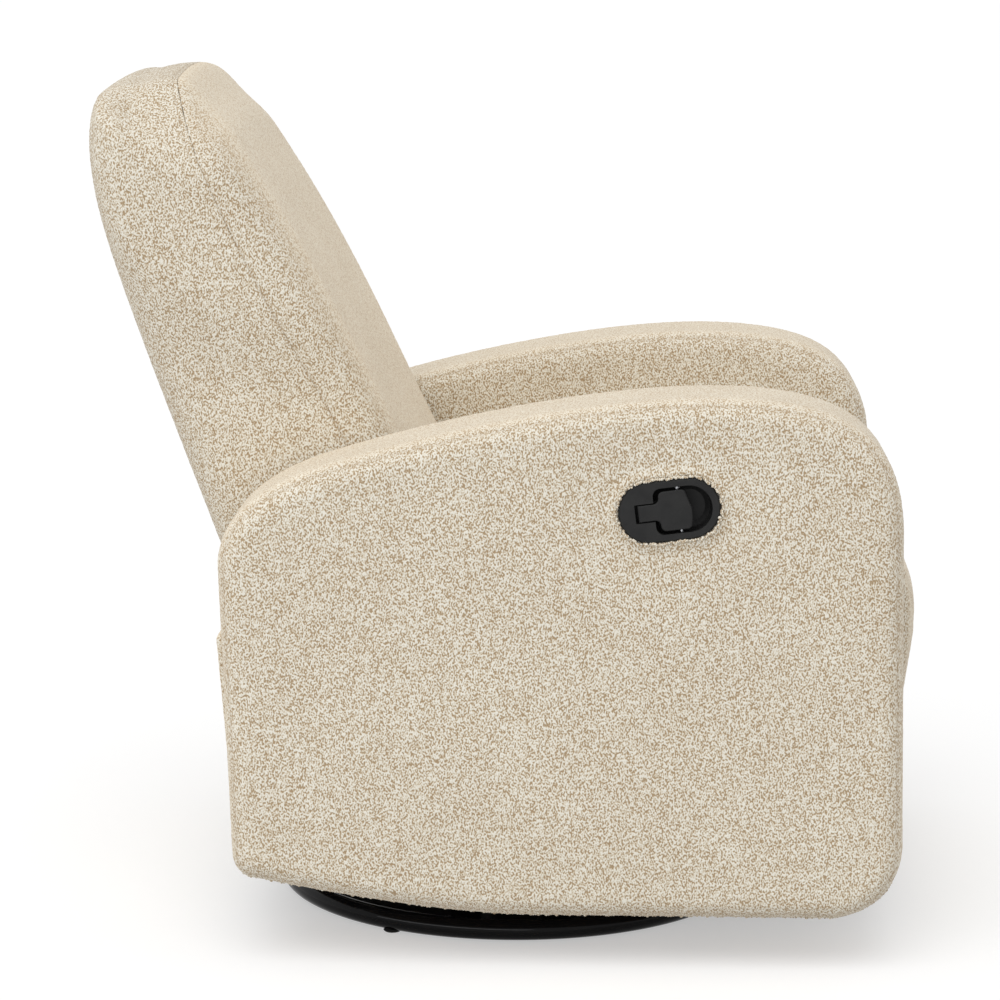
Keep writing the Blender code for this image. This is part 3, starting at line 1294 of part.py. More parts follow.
def build_handle():
    build_bezel()
    top = BEZEL_FLANGE + PADDLE_PROUD
    under = top - PADDLE_THICKNESS
    edge = PADDLE_EDGE_RADIUS
    bm = bmesh.new()
    add_loft(bm, [(paddle_outline(0.0), under), (paddle_outline(0.0), top - edge),
                  (paddle_outline(edge), top)])
    paddle = handle_piece("handle_paddle", bm, black_plastic("paddle_plastic"))
    pin_u, pin_w = HANDLE_PIN_OFFSET, under - KNUCKLE_RADIUS + KNUCKLE_SINK
    bm = bmesh.new()
    add_rod(bm, (pin_u, -KNUCKLE_HEIGHT / 2, pin_w), (pin_u, KNUCKLE_HEIGHT / 2, pin_w),
            KNUCKLE_RADIUS, 16)
    unite(paddle, hide_cutter(handle_piece("join_paddle_knuckle", bm, black_plastic("knuckle"))))
    bm = bmesh.new()
    add_rod(bm, (pin_u, -PADDLE_HEIGHT, pin_w), (pin_u, PADDLE_HEIGHT, pin_w),
            HANDLE_PIN_RADIUS + GAP, 16)
    subtract(paddle, hide_cutter(handle_piece("cut_paddle_bore", bm, zinc("cutter"))))
    bm = bmesh.new()
    reach = POCKET_HEIGHT / 2 - GAP
    add_rod(bm, (pin_u, -reach, pin_w), (pin_u, reach, pin_w), HANDLE_PIN_RADIUS, 14)
    handle_piece("handle_pin", bm, zinc("handle_pin_steel"))
    frame = handle_frame()
    move_origin(paddle, frame @ Vector((pin_u, 0, pin_w)))

    points = []
    steps_per_turn = 10
    turns = COIL_TURNS * steps_per_turn
    start = KNUCKLE_HEIGHT / 2 + COIL_PLAY
    for i in range(turns + 1):
        a = 2 * math.pi * i / steps_per_turn
        v = start + (reach - start - COIL_PLAY) * i / turns
        points.append(frame @ Vector((pin_u + COIL_RADIUS * math.cos(a), v,
                                      pin_w + COIL_RADIUS * math.sin(a))))
    tube("handle_spring", points, COIL_WIRE, zinc("handle_spring_steel"), 1)
    return frame


def build_cable(frame):
    """Release cable from the back of the handle, down in the arm and in to the side plate."""
    start = frame @ Vector((-TONGUE_HEIGHT, 0, -BEZEL_DEPTH + BEZEL_FLANGE - GAP))
    wall = -(INNER_X + PADDING)
    drop = (HANDLE_Z - CABLE_EXIT[1]) / 6
    lean = (CABLE_EXIT[0] - start.y) / 6
    knots = [start, start + Vector((TONGUE_LENGTH, 0, -drop / 8)),
             Vector((-ARM_MID_X, start.y + lean * 0.2, HANDLE_Z - drop)),
             Vector((-ARM_MID_X, start.y + lean, HANDLE_Z - drop * 2.4)),
             Vector((-ARM_MID_X, start.y + lean * 2.6, HANDLE_Z - drop * 4)),
             Vector((wall - BOARD * 3, start.y + lean * 4.7, CABLE_EXIT[1] + drop * 0.7)),
             Vector((wall - BOARD * 1.4, start.y + lean * 5.9, CABLE_EXIT[1] + BOARD / 9)),
             Vector((wall, *CABLE_EXIT)), Vector((-INNER_X - BOARD / 2, *CABLE_EXIT)),
             Vector((-SIDE_PLATE_OUT - GAP, *CABLE_EXIT))]
    points = []
    for i in range(len(knots) - 1):
        p0, p1 = knots[max(i - 1, 0)], knots[i]
        p2, p3 = knots[i + 1], knots[min(i + 2, len(knots) - 1)]
        steps = max(2, int((p2 - p1).length / (CABLE_RADIUS * 6)))
        for k in range(steps):
            t = k / steps
            points.append(0.5 * ((2 * p1) + (p2 - p0) * t + (2 * p0 - 5 * p1 + 4 * p2 - p3) * t * t
                                 + (3 * p1 - p0 - 3 * p2 + p3) * t ** 3))
    points.append(knots[-1])
    tube("release_cable", points, CABLE_RADIUS, black_plastic("cable_sheath"), 2)


def handle_hole():
    """Cutter for the cup of the handle in the arm's padding and outer board."""
    play = 0.0005
    length = BEZEL_LENGTH - BEZEL_WALL * 2 + play * 2
    height = BEZEL_HEIGHT - BEZEL_WALL * 1.5 + play * 2
    bm = bmesh.new()
    add_loft(bm, [(stadium(length, height), -PADDING - BOARD * 1.5), (stadium(length, height), BOARD)])
    return hide_cutter(handle_piece("cut_handle_hole", bm, zinc("cutter")))


def main():
    for obj in list(bpy.data.objects):
        bpy.data.objects.remove(obj, do_unlink=True)
    build_base()
    hole = handle_hole()
    for label, side in SIDES:
        holes = arm_holes(label, side)
        build_arm(label, side, holes, hole if side < 0 else None)
        build_side_plate(label, side, holes)
        build_arm_bolts(label, side)
    build_rear()
    build_seat()
    build_back()
    build_footrest()
    build_cable(build_handle())


main()
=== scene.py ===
import json
import math

import bmesh
import bpy
import numpy as np
from mathutils import Matrix, Vector, noise
from mathutils.kdtree import KDTree


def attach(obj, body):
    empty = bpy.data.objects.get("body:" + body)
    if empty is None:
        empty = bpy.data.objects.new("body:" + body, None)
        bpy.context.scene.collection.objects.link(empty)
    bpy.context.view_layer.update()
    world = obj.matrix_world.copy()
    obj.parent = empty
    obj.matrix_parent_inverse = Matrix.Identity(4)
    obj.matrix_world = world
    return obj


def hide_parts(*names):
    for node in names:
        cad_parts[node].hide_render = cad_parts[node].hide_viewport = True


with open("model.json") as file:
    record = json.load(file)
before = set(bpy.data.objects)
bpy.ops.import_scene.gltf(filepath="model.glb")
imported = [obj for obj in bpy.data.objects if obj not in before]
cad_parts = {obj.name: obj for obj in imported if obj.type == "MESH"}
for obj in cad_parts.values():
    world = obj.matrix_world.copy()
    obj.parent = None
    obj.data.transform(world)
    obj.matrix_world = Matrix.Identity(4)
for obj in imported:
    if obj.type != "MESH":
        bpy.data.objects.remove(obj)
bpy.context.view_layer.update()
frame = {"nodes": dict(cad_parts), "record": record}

NODES = frame["nodes"]

# Sizes shared with the CAD source, in metres and degrees
ARM_REAR_Y, ARM_HEEL_Y, ARM_LIFT_Y = 0.328, 0.316, -0.04
ARM_CREST, ARM_SLOPE = (-0.236, 0.662), (0.211, 0.581)
ARM_BROW_Z, ARM_SHOULDER_Z, ARM_BOTTOM_Z, ARM_HEEL_Z = 0.500, 0.465, 0.058, 0.098
ARM_TOE_RADIUS, ARM_HEEL_RADIUS, ARM_EDGE_RADIUS = 0.085, 0.030, 0.026
ARM_INNER_X, ARM_OUTER_X = 0.233, 0.386
BROW_RISE, CREST_REACH, CREST_BEND = 0.74, 0.71, 0.136
SLOPE_BEND_IN, SLOPE_BEND_OUT = (-0.121, 0.039), (0.057, -0.019)
SHOULDER_BEND, HEEL_BEND, LIFT_BEND = 0.063, (-0.117, -0.022), 0.10
PADDING = 0.028
HANDLE_Y, HANDLE_Z, HANDLE_TILT = -0.185, 0.538, 7.2
BEZEL_LENGTH, BEZEL_HEIGHT, BEZEL_WALL, BEZEL_FLANGE = 0.116, 0.070, 0.008, 0.0055
SEAT_FRONT_Y, SEAT_REAR_Y, SEAT_BASE_Z, SEAT_TOP_Z = -0.416, 0.049, 0.385, 0.464
SEAT_HALF_WIDTH, SEAT_CROWN, SEAT_RADIUS = 0.2285, 0.014, 0.030
BACK_HALF_WIDTH, BACK_BOTTOM_Z, BACK_TOP_Z, BACK_LENGTH = 0.246, 0.452, 1.0105, 0.600
BACK_REAR_TOP_RISE, BACK_FRONT_TOP_DROP = 0.0025, 0.0245
# Each bend of the back's lines is a y and a share of the height
BACK_REAR_BENDS = ((0.344, 0.0), (0.462, 0.569), (0.529, 0.857), (0.469, 1.0))
BACK_SEAM_BENDS = ((0.133, 0.0), (0.222, 0.419), (0.293, 0.489), (0.391, 1.0))
BACK_FRONT_BENDS = ((0.056, 0.0), (0.127, 0.207), (0.218, 0.668), (0.351, 1.0))
BACK_GUSSET_DEPTH, BACK_FRONT_DEPTH, BACK_EDGE_RADIUS = 0.180, 0.065, 0.054
BACK_CORNER_RADIUS, BACK_WALL = 0.095, 0.018
FOOT_FACE_Y, FOOT_PAD_DEPTH, FOOT_RADIUS = -0.4323, 0.030, 0.014
FOOT_BOTTOM_Z, FOOT_PAD_TOP_Z, FOOT_CREASE_Z = 0.097, 0.450, 0.262
FOOT_LOWER_TUCK, FOOT_SIDE_DROP = 0.006, 0.6
RING_RADIUS, RING_TUBE, GLIDE_HEIGHT = 0.284, 0.0125, 0.002
PAN_THICKNESS, PAN_RIM_Z, PAN_HUB_Z, PAN_LIP = 0.002, 0.018, 0.040, 0.010
HUB_RADIUS, PAN_BORE = 0.100, 0.016

# Shapes that leave the CAD's a little, as the photo shows them
ARM_FRONT_Y, ARM_BROW_Y = -0.456, -0.450
FAR_BROW, FAR_BROW_ALONG, FAR_BROW_UP = 0.006, (-0.28, -0.40), (0.44, 0.56)
ARM_PUFF, ARM_PUFF_REACH = 0.0022, 0.05
HANDLE_RIDGE, HANDLE_RIDGE_RISE, HANDLE_RIDGE_FALL = 0.0032, 0.0035, 0.006
HANDLE_CUT_PLAY, HANDLE_CUT_SPAN = 0.003, (-0.05, 0.02)
BACK_CORNER_DEPTH, BACK_WIDEN = 0.038, (0.29, 0.60)
# Each part of the dome is its y, its reach and its lift
BACK_DOME = ((0.498, 0.014, 0.0055), (0.443, 0.018, -0.0055), (0.392, 0.026, 0.0025),
             (0.322, 0.024, 0.0072))
BACK_ARCH, BACK_ARCH_LIFT, BACK_ARCH_FROM = 0.018, 0.006, 0.6
BACK_DOME_FROM = 0.85
PILLOW_TUCK, PILLOW_TUCK_DEPTH, PILLOW_LAP = 0.3, 0.126, 0.0004
SEAT_WAIST, SEAT_SEAM_SHARE = 0.012, 0.62
FOOT_UPPER_CROWN, FOOT_UPPER_PEAK, FOOT_LOWER_CROWN, FOOT_FULLNESS = 0.0235, 0.58, 0.006, 0.75

# Mesh fineness and the cloth simulation
VOXEL, CELL, FOOT_CELL = 0.0034, 0.0060, 0.0050
ARM_FINENESS = 4
WELD = 1e-6
FINER = ("SUBSURF", {"levels": 1, "render_levels": 1})
CLOTH_FRAMES, CLOTH_CAP, CLOTH_PRESSURE = 20, 0.024, 4.0
CROWN_ROWS, CROWN_BAND = 24, 0.004

# Seams and loops
STITCH = 0.0065
FINE_SEAM, BROAD_SEAM, SECOND_SEAM = 0.0016, 0.0022, 0.0018
ARM_GROOVE, BACK_GROOVE, SEAT_GROOVE, FOOT_GROOVE = 0.0010, 0.0012, 0.0022, 0.0016
ARM_SEAM_INSET, ARM_SEAM_REACH, ARM_SEAM_RIM = 0.0076, 0.012, 0.014
SECOND_ROW_GAP, SECOND_ROW_RISE = 0.012, (0.50, 0.56)
NUB, NUB_CELL = 0.0008, 0.0046
RIM_LOOP_GAP, RIM_LOOP_STEP, FRINGE_STEP = 0.0022, 0.0026, 0.0030

# Fabric colours and grain
GRAIN_SCALE, FIBRE_SCALE, PATCH_SCALE = 560.0, 1200.0, 9.0
GRAIN_STRETCH, GRAIN_TURN = (1.0, 1.0, 0.74), (0.55, 0.40, 0.25)
PILE_GAIN, PILE_SHIFT, FUZZ_GAIN = 2.5, -0.73, 0.25
PILE_BUMP, SHEEN_BUMP, PILE_DEPTH = 0.5, 0.15, 0.0008
FABRIC_STOPS = [(0.12, (0.40, 0.29, 0.175)), (0.88, (0.825, 0.795, 0.705)),
                (0.34, (0.57, 0.475, 0.345)), (0.50, (0.68, 0.605, 0.475))]
# Painted sheen: a lighter, warmer, low-contrast copy of the pile's colours
SHEEN_STOPS = [(0.12, (0.74, 0.60, 0.43)), (0.88, (0.93, 0.84, 0.68)),
                 (0.34, (0.85, 0.725, 0.545)), (0.50, (0.89, 0.78, 0.605))]
# Painted shade: the brown that the cloth is darkened towards in its sewn grooves and creases
FABRIC_CREASE_SHADE = (0.36, 0.25, 0.145)
# Painted sheen: the pile is painted lighter, warmer and smoother where the cloth turns from the sides
# to the front, top or rear, as it looks seen edge-on
SHEEN_TURN, SHEEN, ARM_SHEEN, SHELL_SHEEN = (0.10, 0.97), 0.85, 0.6, 0.15

# Light and camera
FLOOR_GREY, FLOOR_GLOW, SKY = 0.62, 0.42, 0.64
KEY_POWER, KEY_SPREAD, KEY_AIM = 1.15, 50.0, (0.55, -0.15, -1.0)
STRIP_SIZE, STRIP_POWER, STRIP_DISTANCE = (9.0, 0.5), 90.0, 6.0
STRIP_TURN, STRIP_RISE = 28.0, 15.0
CAMERA_AZIMUTH, CAMERA_ELEVATION, CAMERA_DISTANCE = -87.78, 10.01, 4.0
CAMERA_TARGET, CAMERA_LENS = (0, 0.02, 0.48), 115.7


# Shader building
def shader_tree(name):
    mat = bpy.data.materials.new(name)
    mat.use_nodes = True
    tree = mat.node_tree
    return mat, tree, tree.nodes["Principled BSDF"]


def node(tree, kind, **values):
    made = tree.nodes.new(kind)
    for key, value in values.items():
        if key in made.inputs:
            made.inputs[key].default_value = value
        else:
            setattr(made, key, value)
    return made


def math_node(tree, operation, *values, clamp=False):
    made = tree.nodes.new("ShaderNodeMath")
    made.operation = operation
    made.use_clamp = clamp
    for slot, value in enumerate(values):
        if isinstance(value, (int, float)):
            made.inputs[slot].default_value = value
        else:
            tree.links.new(value, made.inputs[slot])
    return made.outputs[0]


def scaled(tree, value, gain, shift):
    return math_node(tree, "MULTIPLY_ADD", value, gain, shift)


def object_place(tree):
    return tree.nodes.new("ShaderNodeTexCoord").outputs["Object"]


def stretched(tree, place, factors):
    """The place scaled along each axis, so that a texture runs long along the small ones."""
    made = tree.nodes.new("ShaderNodeVectorMath")
    made.operation = "MULTIPLY"
    tree.links.new(place, made.inputs[0])
    made.inputs[1].default_value = factors
    return made.outputs[0]


def ramp(tree, factor, stops):
    made = tree.nodes.new("ShaderNodeValToRGB")
    for i, (place, colour) in enumerate(stops):
        if i < 2:
            element = made.color_ramp.elements[i]
            element.position = place
        else:
            element = made.color_ramp.elements.new(place)
        element.color = (*colour, 1.0)
    tree.links.new(factor, made.inputs["Fac"])
    return made.outputs["Color"]


def mix_colour(tree, factor, a, b, blend="MIX"):
    made = tree.nodes.new("ShaderNodeMix")
    made.data_type = "RGBA"
    made.blend_type = blend
    for socket, value in ((made.inputs["Factor"], factor), (made.inputs[6], a),
                          (made.inputs[7], b)):
        if isinstance(value, bpy.types.NodeSocket):
            tree.links.new(value, socket)
        elif isinstance(value, (int, float)):
            socket.default_value = value
        else:
            socket.default_value = (*value, 1.0)
    return made.outputs[2]


def noise_node(tree, vector, scale, detail=2.0, roughness=0.5, distortion=0.0):
    made = node(tree, "ShaderNodeTexNoise", Scale=scale, Detail=detail, Roughness=roughness,
                Distortion=distortion)
    tree.links.new(vector, made.inputs["Vector"])
    return made


def bump(tree, shader, height, strength, distance):
    made = node(tree, "ShaderNodeBump", Distance=distance)
    if isinstance(strength, bpy.types.NodeSocket):
        tree.links.new(strength, made.inputs["Strength"])
    else:
        made.inputs["Strength"].default_value = strength
    tree.links.new(height, made.inputs["Height"])
    tree.links.new(made.outputs["Normal"], shader.inputs["Normal"])


def attribute(tree, name):
    made = tree.nodes.new("ShaderNodeAttribute")
    made.attribute_name = name
    return made.outputs["Fac"]


def boucle(name):
    """Cream looped pile: fine curly grains parted by short brown crevices."""
    mat, tree, shader = shader_tree(name)
    place = object_place(tree)
    slanted = tree.nodes.new("ShaderNodeMapping")
    slanted.inputs["Rotation"].default_value = GRAIN_TURN
    tree.links.new(stretched(tree, place, GRAIN_STRETCH), slanted.inputs["Vector"])
    grain = noise_node(tree, slanted.outputs[0], GRAIN_SCALE, 0.0).outputs["Fac"]
    fibre = noise_node(tree, place, FIBRE_SCALE, 1.0, 0.6).outputs["Fac"]
    pile = scaled(tree, grain, PILE_GAIN, PILE_SHIFT)
    fuzz = scaled(tree, fibre, FUZZ_GAIN, -FUZZ_GAIN / 2)
    height = math_node(tree, "ADD", pile, fuzz, clamp=True)
    # Painted sheen: flat holds the mask where the pile takes its lighter, warmer colours and a weaker
    # bump
    flat = attribute(tree, "painted_sheen")
    colour = mix_colour(tree, flat, ramp(tree, height, FABRIC_STOPS),
                        ramp(tree, height, SHEEN_STOPS))
    patch = noise_node(tree, place, PATCH_SCALE, 3.0, 0.6).outputs["Fac"]
    tone = ramp(tree, patch, [(0.30, (0.95, 0.94, 0.93)), (0.70, (1.0, 1.0, 1.0))])
    colour = mix_colour(tree, 1.0, colour, tone, "MULTIPLY")
    # Painted shade: darken the cloth towards brown where the crease attribute marks seams and creases
    colour = mix_colour(tree, attribute(tree, "crease"), colour, FABRIC_CREASE_SHADE)
    tree.links.new(colour, shader.inputs["Base Color"])
    shader.inputs["Roughness"].default_value = 0.95
    shader.inputs["Specular IOR Level"].default_value = 0.10
    shader.inputs["Sheen Weight"].default_value = 0.15
    shader.inputs["Sheen Roughness"].default_value = 0.6
    strength = scaled(tree, flat, SHEEN_BUMP - PILE_BUMP, PILE_BUMP)
    bump(tree, shader, height, strength, PILE_DEPTH)
    return mat


def gloss_black(name):
    """Powder coated steel with a wet gloss."""
    mat, tree, shader = shader_tree(name)
    place = object_place(tree)
    peel = noise_node(tree, place, 420.0, 2.0, 0.5).outputs["Fac"]
    smear = noise_node(tree, place, 14.0, 4.0, 0.6).outputs["Fac"]
    tone = ramp(tree, smear, [(0.35, (0.003, 0.003, 0.0035)), (0.70, (0.006, 0.006, 0.0065))])
    tree.links.new(tone, shader.inputs["Base Color"])
    tree.links.new(scaled(tree, smear, 0.08, 0.05), shader.inputs["Roughness"])
    shader.inputs["Specular IOR Level"].default_value = 0.10
    bump(tree, shader, peel, 0.05, 0.0003)
    return mat


def matte_black(name):
    """Moulded black plastic with a fine spark eroded grain."""
    mat, tree, shader = shader_tree(name)
    place = object_place(tree)
    grain = noise_node(tree, place, 1500.0, 3.0, 0.65).outputs["Fac"]
    cloud = noise_node(tree, place, 60.0, 3.0).outputs["Fac"]
    tone = ramp(tree, cloud, [(0.30, (0.010, 0.010, 0.0102)), (0.75, (0.017, 0.017, 0.0168))])
    tree.links.new(tone, shader.inputs["Base Color"])
    tree.links.new(scaled(tree, grain, 0.22, 0.40), shader.inputs["Roughness"])
    shader.inputs["Specular IOR Level"].default_value = 0.22
    bump(tree, shader, grain, 0.30, 0.0003)
    return mat


def zinc_steel(name):
    """Zinc plated pressed steel, faintly mottled, with rolling marks."""
    mat, tree, shader = shader_tree(name)
    place = object_place(tree)
    rolled = stretched(tree, place, (1.0, 0.08, 1.0))
    marks = noise_node(tree, rolled, 700.0, 3.0, 0.6).outputs["Fac"]
    spangle = node(tree, "ShaderNodeTexVoronoi", Scale=90.0)
    tree.links.new(place, spangle.inputs["Vector"])
    tone = ramp(tree, spangle.outputs["Color"], [(0.2, (0.42, 0.43, 0.45)), (0.8, (0.60, 0.61, 0.63))])
    tree.links.new(tone, shader.inputs["Base Color"])
    tree.links.new(scaled(tree, marks, 0.25, 0.22), shader.inputs["Roughness"])
    shader.inputs["Metallic"].default_value = 1.0
    bump(tree, shader, marks, 0.12, 0.0003)
    return mat


def plywood(name):
    """Bare furniture plywood with long grain and pores."""
    mat, tree, shader = shader_tree(name)
    place = object_place(tree)
    long_grain = stretched(tree, place, (1.0, 0.07, 1.0))
    grain = noise_node(tree, long_grain, 140.0, 5.0, 0.65, 0.8).outputs["Fac"]
    pores = noise_node(tree, long_grain, 900.0, 2.0, 0.6).outputs["Fac"]
    tone = ramp(tree, grain, [(0.30, (0.30, 0.185, 0.10)), (0.72, (0.58, 0.42, 0.26))])
    tree.links.new(tone, shader.inputs["Base Color"])
    shader.inputs["Roughness"].default_value = 0.72
    bump(tree, shader, pores, 0.30, 0.0004)
    return mat


def rubber(name):
    """Dull moulded rubber."""
    mat, tree, shader = shader_tree(name)
    place = object_place(tree)
    dust = noise_node(tree, place, 260.0, 4.0, 0.7).outputs["Fac"]
    tone = ramp(tree, dust, [(0.35, (0.012, 0.012, 0.012)), (0.75, (0.035, 0.034, 0.032))])
    tree.links.new(tone, shader.inputs["Base Color"])
    shader.inputs["Roughness"].default_value = 0.82
    bump(tree, shader, dust, 0.25, 0.0005)
    return mat


# Curves in the (y, z) plane
def bezier_run(p0, p1, p2, p3, count):
    t = np.linspace(0, 1, count, endpoint=False)[:, None]
    s = 1 - t
    knots = [np.array(p) for p in (p0, p1, p2, p3)]
    weights = (s ** 3, 3 * s * s * t, 3 * s * t * t, t ** 3)
    return [tuple(p) for p in sum(w * k for w, k in zip(weights, knots))]


def arc_run(centre, radius, start, end, count):
    points = []
    for i in range(count):
        a = math.radians(start + (end - start) * i / count)
        points.append((centre[0] + radius * math.cos(a), centre[1] + radius * math.sin(a)))
    return points


def straight_run(a, b, count=8):
    return [(a[0] + (b[0] - a[0]) * i / count, a[1] + (b[1] - a[1]) * i / count)
            for i in range(count)]


def run_along(line):
    """How far along the line each of its points lies."""
    return np.concatenate(([0], np.cumsum(np.linalg.norm(np.diff(line, axis=0), axis=1))))


def inset(outline, distance):
    """Move each point of a closed outline inwards along its normal."""
    p = np.array(outline)
    along = np.roll(p, -1, 0) - np.roll(p, 1, 0)
    along /= np.linalg.norm(along, axis=1)[:, None] + 1e-12
    area = np.sum(p[:, 0] * np.roll(p[:, 1], -1) - np.roll(p[:, 0], -1) * p[:, 1])
    inward = np.stack((-along[:, 1], along[:, 0]), 1) * np.sign(area)
    return [tuple(q) for q in p + inward * distance]


def shifted(point, by):
    return (point[0] + by[0], point[1] + by[1])


def arm_outline():
    """Side view of an arm, from the front face over the crest and round the heel."""
    front, rear, brow = ARM_FRONT_Y, ARM_REAR_Y, ARM_BROW_Y
    crest, slope, fine = ARM_CREST, ARM_SLOPE, ARM_FINENESS
    rise = (crest[1] - ARM_BROW_Z) * BROW_RISE
    points = bezier_run((brow, ARM_BROW_Z), (brow, ARM_BROW_Z + rise),
                        (crest[0] + CREST_REACH * (brow - crest[0]), crest[1]), crest, 8 * fine)
    points += bezier_run(crest, (crest[0] + CREST_BEND, crest[1]), shifted(slope, SLOPE_BEND_IN),
                         slope, 7 * fine)
    points += bezier_run(slope, shifted(slope, SLOPE_BEND_OUT),
                         (rear, ARM_SHOULDER_Z + SHOULDER_BEND), (rear, ARM_SHOULDER_Z), 6 * fine)
    heel = (ARM_HEEL_Y - ARM_HEEL_RADIUS, ARM_HEEL_Z + ARM_HEEL_RADIUS)
    points += straight_run((rear, ARM_SHOULDER_Z), (ARM_HEEL_Y, heel[1]))
    points += arc_run(heel, ARM_HEEL_RADIUS, 0, -90, 4 * fine)
    lift = (ARM_LIFT_Y, ARM_BOTTOM_Z)
    under = (heel[0], ARM_HEEL_Z)
    points += bezier_run(under, shifted(under, HEEL_BEND), (lift[0] + LIFT_BEND, lift[1]),
                         lift, 5 * fine)
    toe = (front + ARM_TOE_RADIUS, ARM_BOTTOM_Z + ARM_TOE_RADIUS)
    points += straight_run(lift, (toe[0], ARM_BOTTOM_Z))
    points += arc_run(toe, ARM_TOE_RADIUS, -90, -180, 6 * fine)
    points += straight_run((front, toe[1]), (brow, ARM_BROW_Z))
    return points


# Mesh helpers
def link(name, mesh):
    obj = bpy.data.objects.new(name, mesh)
    bpy.context.scene.collection.objects.link(obj)
    return obj


def evaluated(obj):
    """The object's mesh with its modifiers applied, as a new mesh."""
    bpy.context.view_layer.update()
    graph = bpy.context.evaluated_depsgraph_get()
    return bpy.data.meshes.new_from_object(obj.evaluated_get(graph))


def points_of(mesh):
    co = np.empty(len(mesh.vertices) * 3)
    mesh.vertices.foreach_get("co", co)
    return co.reshape(-1, 3)


def normals_of(mesh):
    n = np.empty(len(mesh.vertices) * 3)
    mesh.vertex_normals.foreach_get("vector", n)
    return n.reshape(-1, 3)


def set_points(mesh, co):
    mesh.vertices.foreach_set("co", np.asarray(co, float).ravel())
    mesh.update()


def finished(bm, mesh):
    """Write the bmesh into the mesh and let go of it."""
    bm.to_mesh(mesh)
    bm.free()
    return mesh


def loft_mesh(name, rings, cap=True):
    bm = bmesh.new()
    made = [[bm.verts.new(p) for p in ring] for ring in rings]
    for here, there in zip(made, made[1:]):
        for i in range(len(here)):
            j = (i + 1) % len(here)
            bm.faces.new((here[i], here[j], there[j], there[i]))
    if cap:
        bm.faces.new(made[0])
        bm.faces.new(made[-1])
    bmesh.ops.recalc_face_normals(bm, faces=bm.faces)
    return finished(bm, bpy.data.meshes.new(name))


def rounded_plate(name, outline, x_mid, half, radius, steps=6):
    """A plate across X with the given outline, its edges rounded over both faces."""
    rings = []
    for side in (-1, 1):
        turns = range(steps + 1) if side < 0 else range(steps, -1, -1)
        for k in turns:
            a = math.pi / 2 * k / steps
            x = x_mid + side * (half - radius * (1 - math.cos(a)))
            rings.append([(x, y, z) for y, z in inset(outline, radius * (1 - math.sin(a)))])
    return loft_mesh(name, rings)


def nubs(mesh, seed):
    """Push the surface out and in like the loops of the pile."""
    co, normal = points_of(mesh), normals_of(mesh)
    lift = np.empty(len(co))
    shift = Vector((seed, seed * 1.7, -seed))
    for i, p in enumerate(co):
        q = Vector(p) / NUB_CELL + shift
        near = noise.voronoi(q)[0][0]
        lift[i] = 0.50 - near + 0.30 * noise.noise(q * 2.1)
    set_points(mesh, co + normal * (lift * NUB)[:, None])


def write_attribute(mesh, name, values):
    made = mesh.attributes.get(name) or mesh.attributes.new(name, "FLOAT", "POINT")
    made.data.foreach_set("value", np.asarray(values, np.float32))


def read_flat(mesh):
    """Where each point was on the straight block, as kept by block_mesh."""
    co = np.empty(len(mesh.vertices) * 3, np.float32)
    mesh.attributes["flat"].data.foreach_get("vector", co)
    return co.reshape(-1, 3).astype(float)


def soft_step(low, high, values):
    s = np.clip((values - low) / (high - low), 0, 1)
    return s * s * (3 - 2 * s)


def stitched(distance, along, width=FINE_SEAM):
    """Darkness of a sewn line, painted as shade in its groove: a groove with a dot at each stitch."""
    dots = 0.55 + 0.45 * np.cos(2 * np.pi * along / STITCH)
    return np.exp(-(distance / width) ** 2) * dots


def groove(mesh, mask, depth):
    set_points(mesh, points_of(mesh) - normals_of(mesh) * (mask * depth)[:, None])


def soft_piece(name, mesh, body, nodes, mat, crease=None, painted_sheen=SHEEN):
    """Finish a soft mesh and hang it on its body in place of its CAD nodes."""
    normal = normals_of(mesh)
    # Painted sheen, strongest where the normal turns away from X
    turned_away = 1 - soft_step(*SHEEN_TURN, np.abs(normal[:, 0]))
    write_attribute(mesh, "painted_sheen", painted_sheen * turned_away)
    # The crease attribute holds the painted shade in seams and creases
    write_attribute(mesh, "crease", np.zeros(len(normal)) if crease is None else crease)
    mesh.shade_smooth()
    mesh.materials.clear()
    mesh.materials.append(mat)
    obj = link(name, mesh)
    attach(obj, body)
    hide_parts(*nodes)


def cad_copy(name):
    """The CAD node's shape as a mesh of its own, with its seams between faces closed."""
    mesh = NODES[name].data.copy()
    bm = bmesh.new()
    bm.from_mesh(mesh)
    bmesh.ops.remove_doubles(bm, verts=bm.verts, dist=WELD)
    return finished(bm, mesh)


def edge_cuts(flat, radius, steps):
    """Offsets past the flat part that cut a rounded edge at even angles."""
    return [flat + radius * math.tan(math.radians(45.0 * (k + 1) / steps)) for k in range(steps)]


def even_cuts(half, radius, cell=CELL):
    """Positions across a rounded block: even cells between, even angles in its edges."""
    flat = half - radius
    count = max(2, round(2 * flat / cell))
    steps = max(2, round(radius * 1.4 / cell))
    edge = edge_cuts(flat, radius, steps)
    return [-e for e in reversed(edge)] + list(np.linspace(-flat, flat, count + 1)) + edge


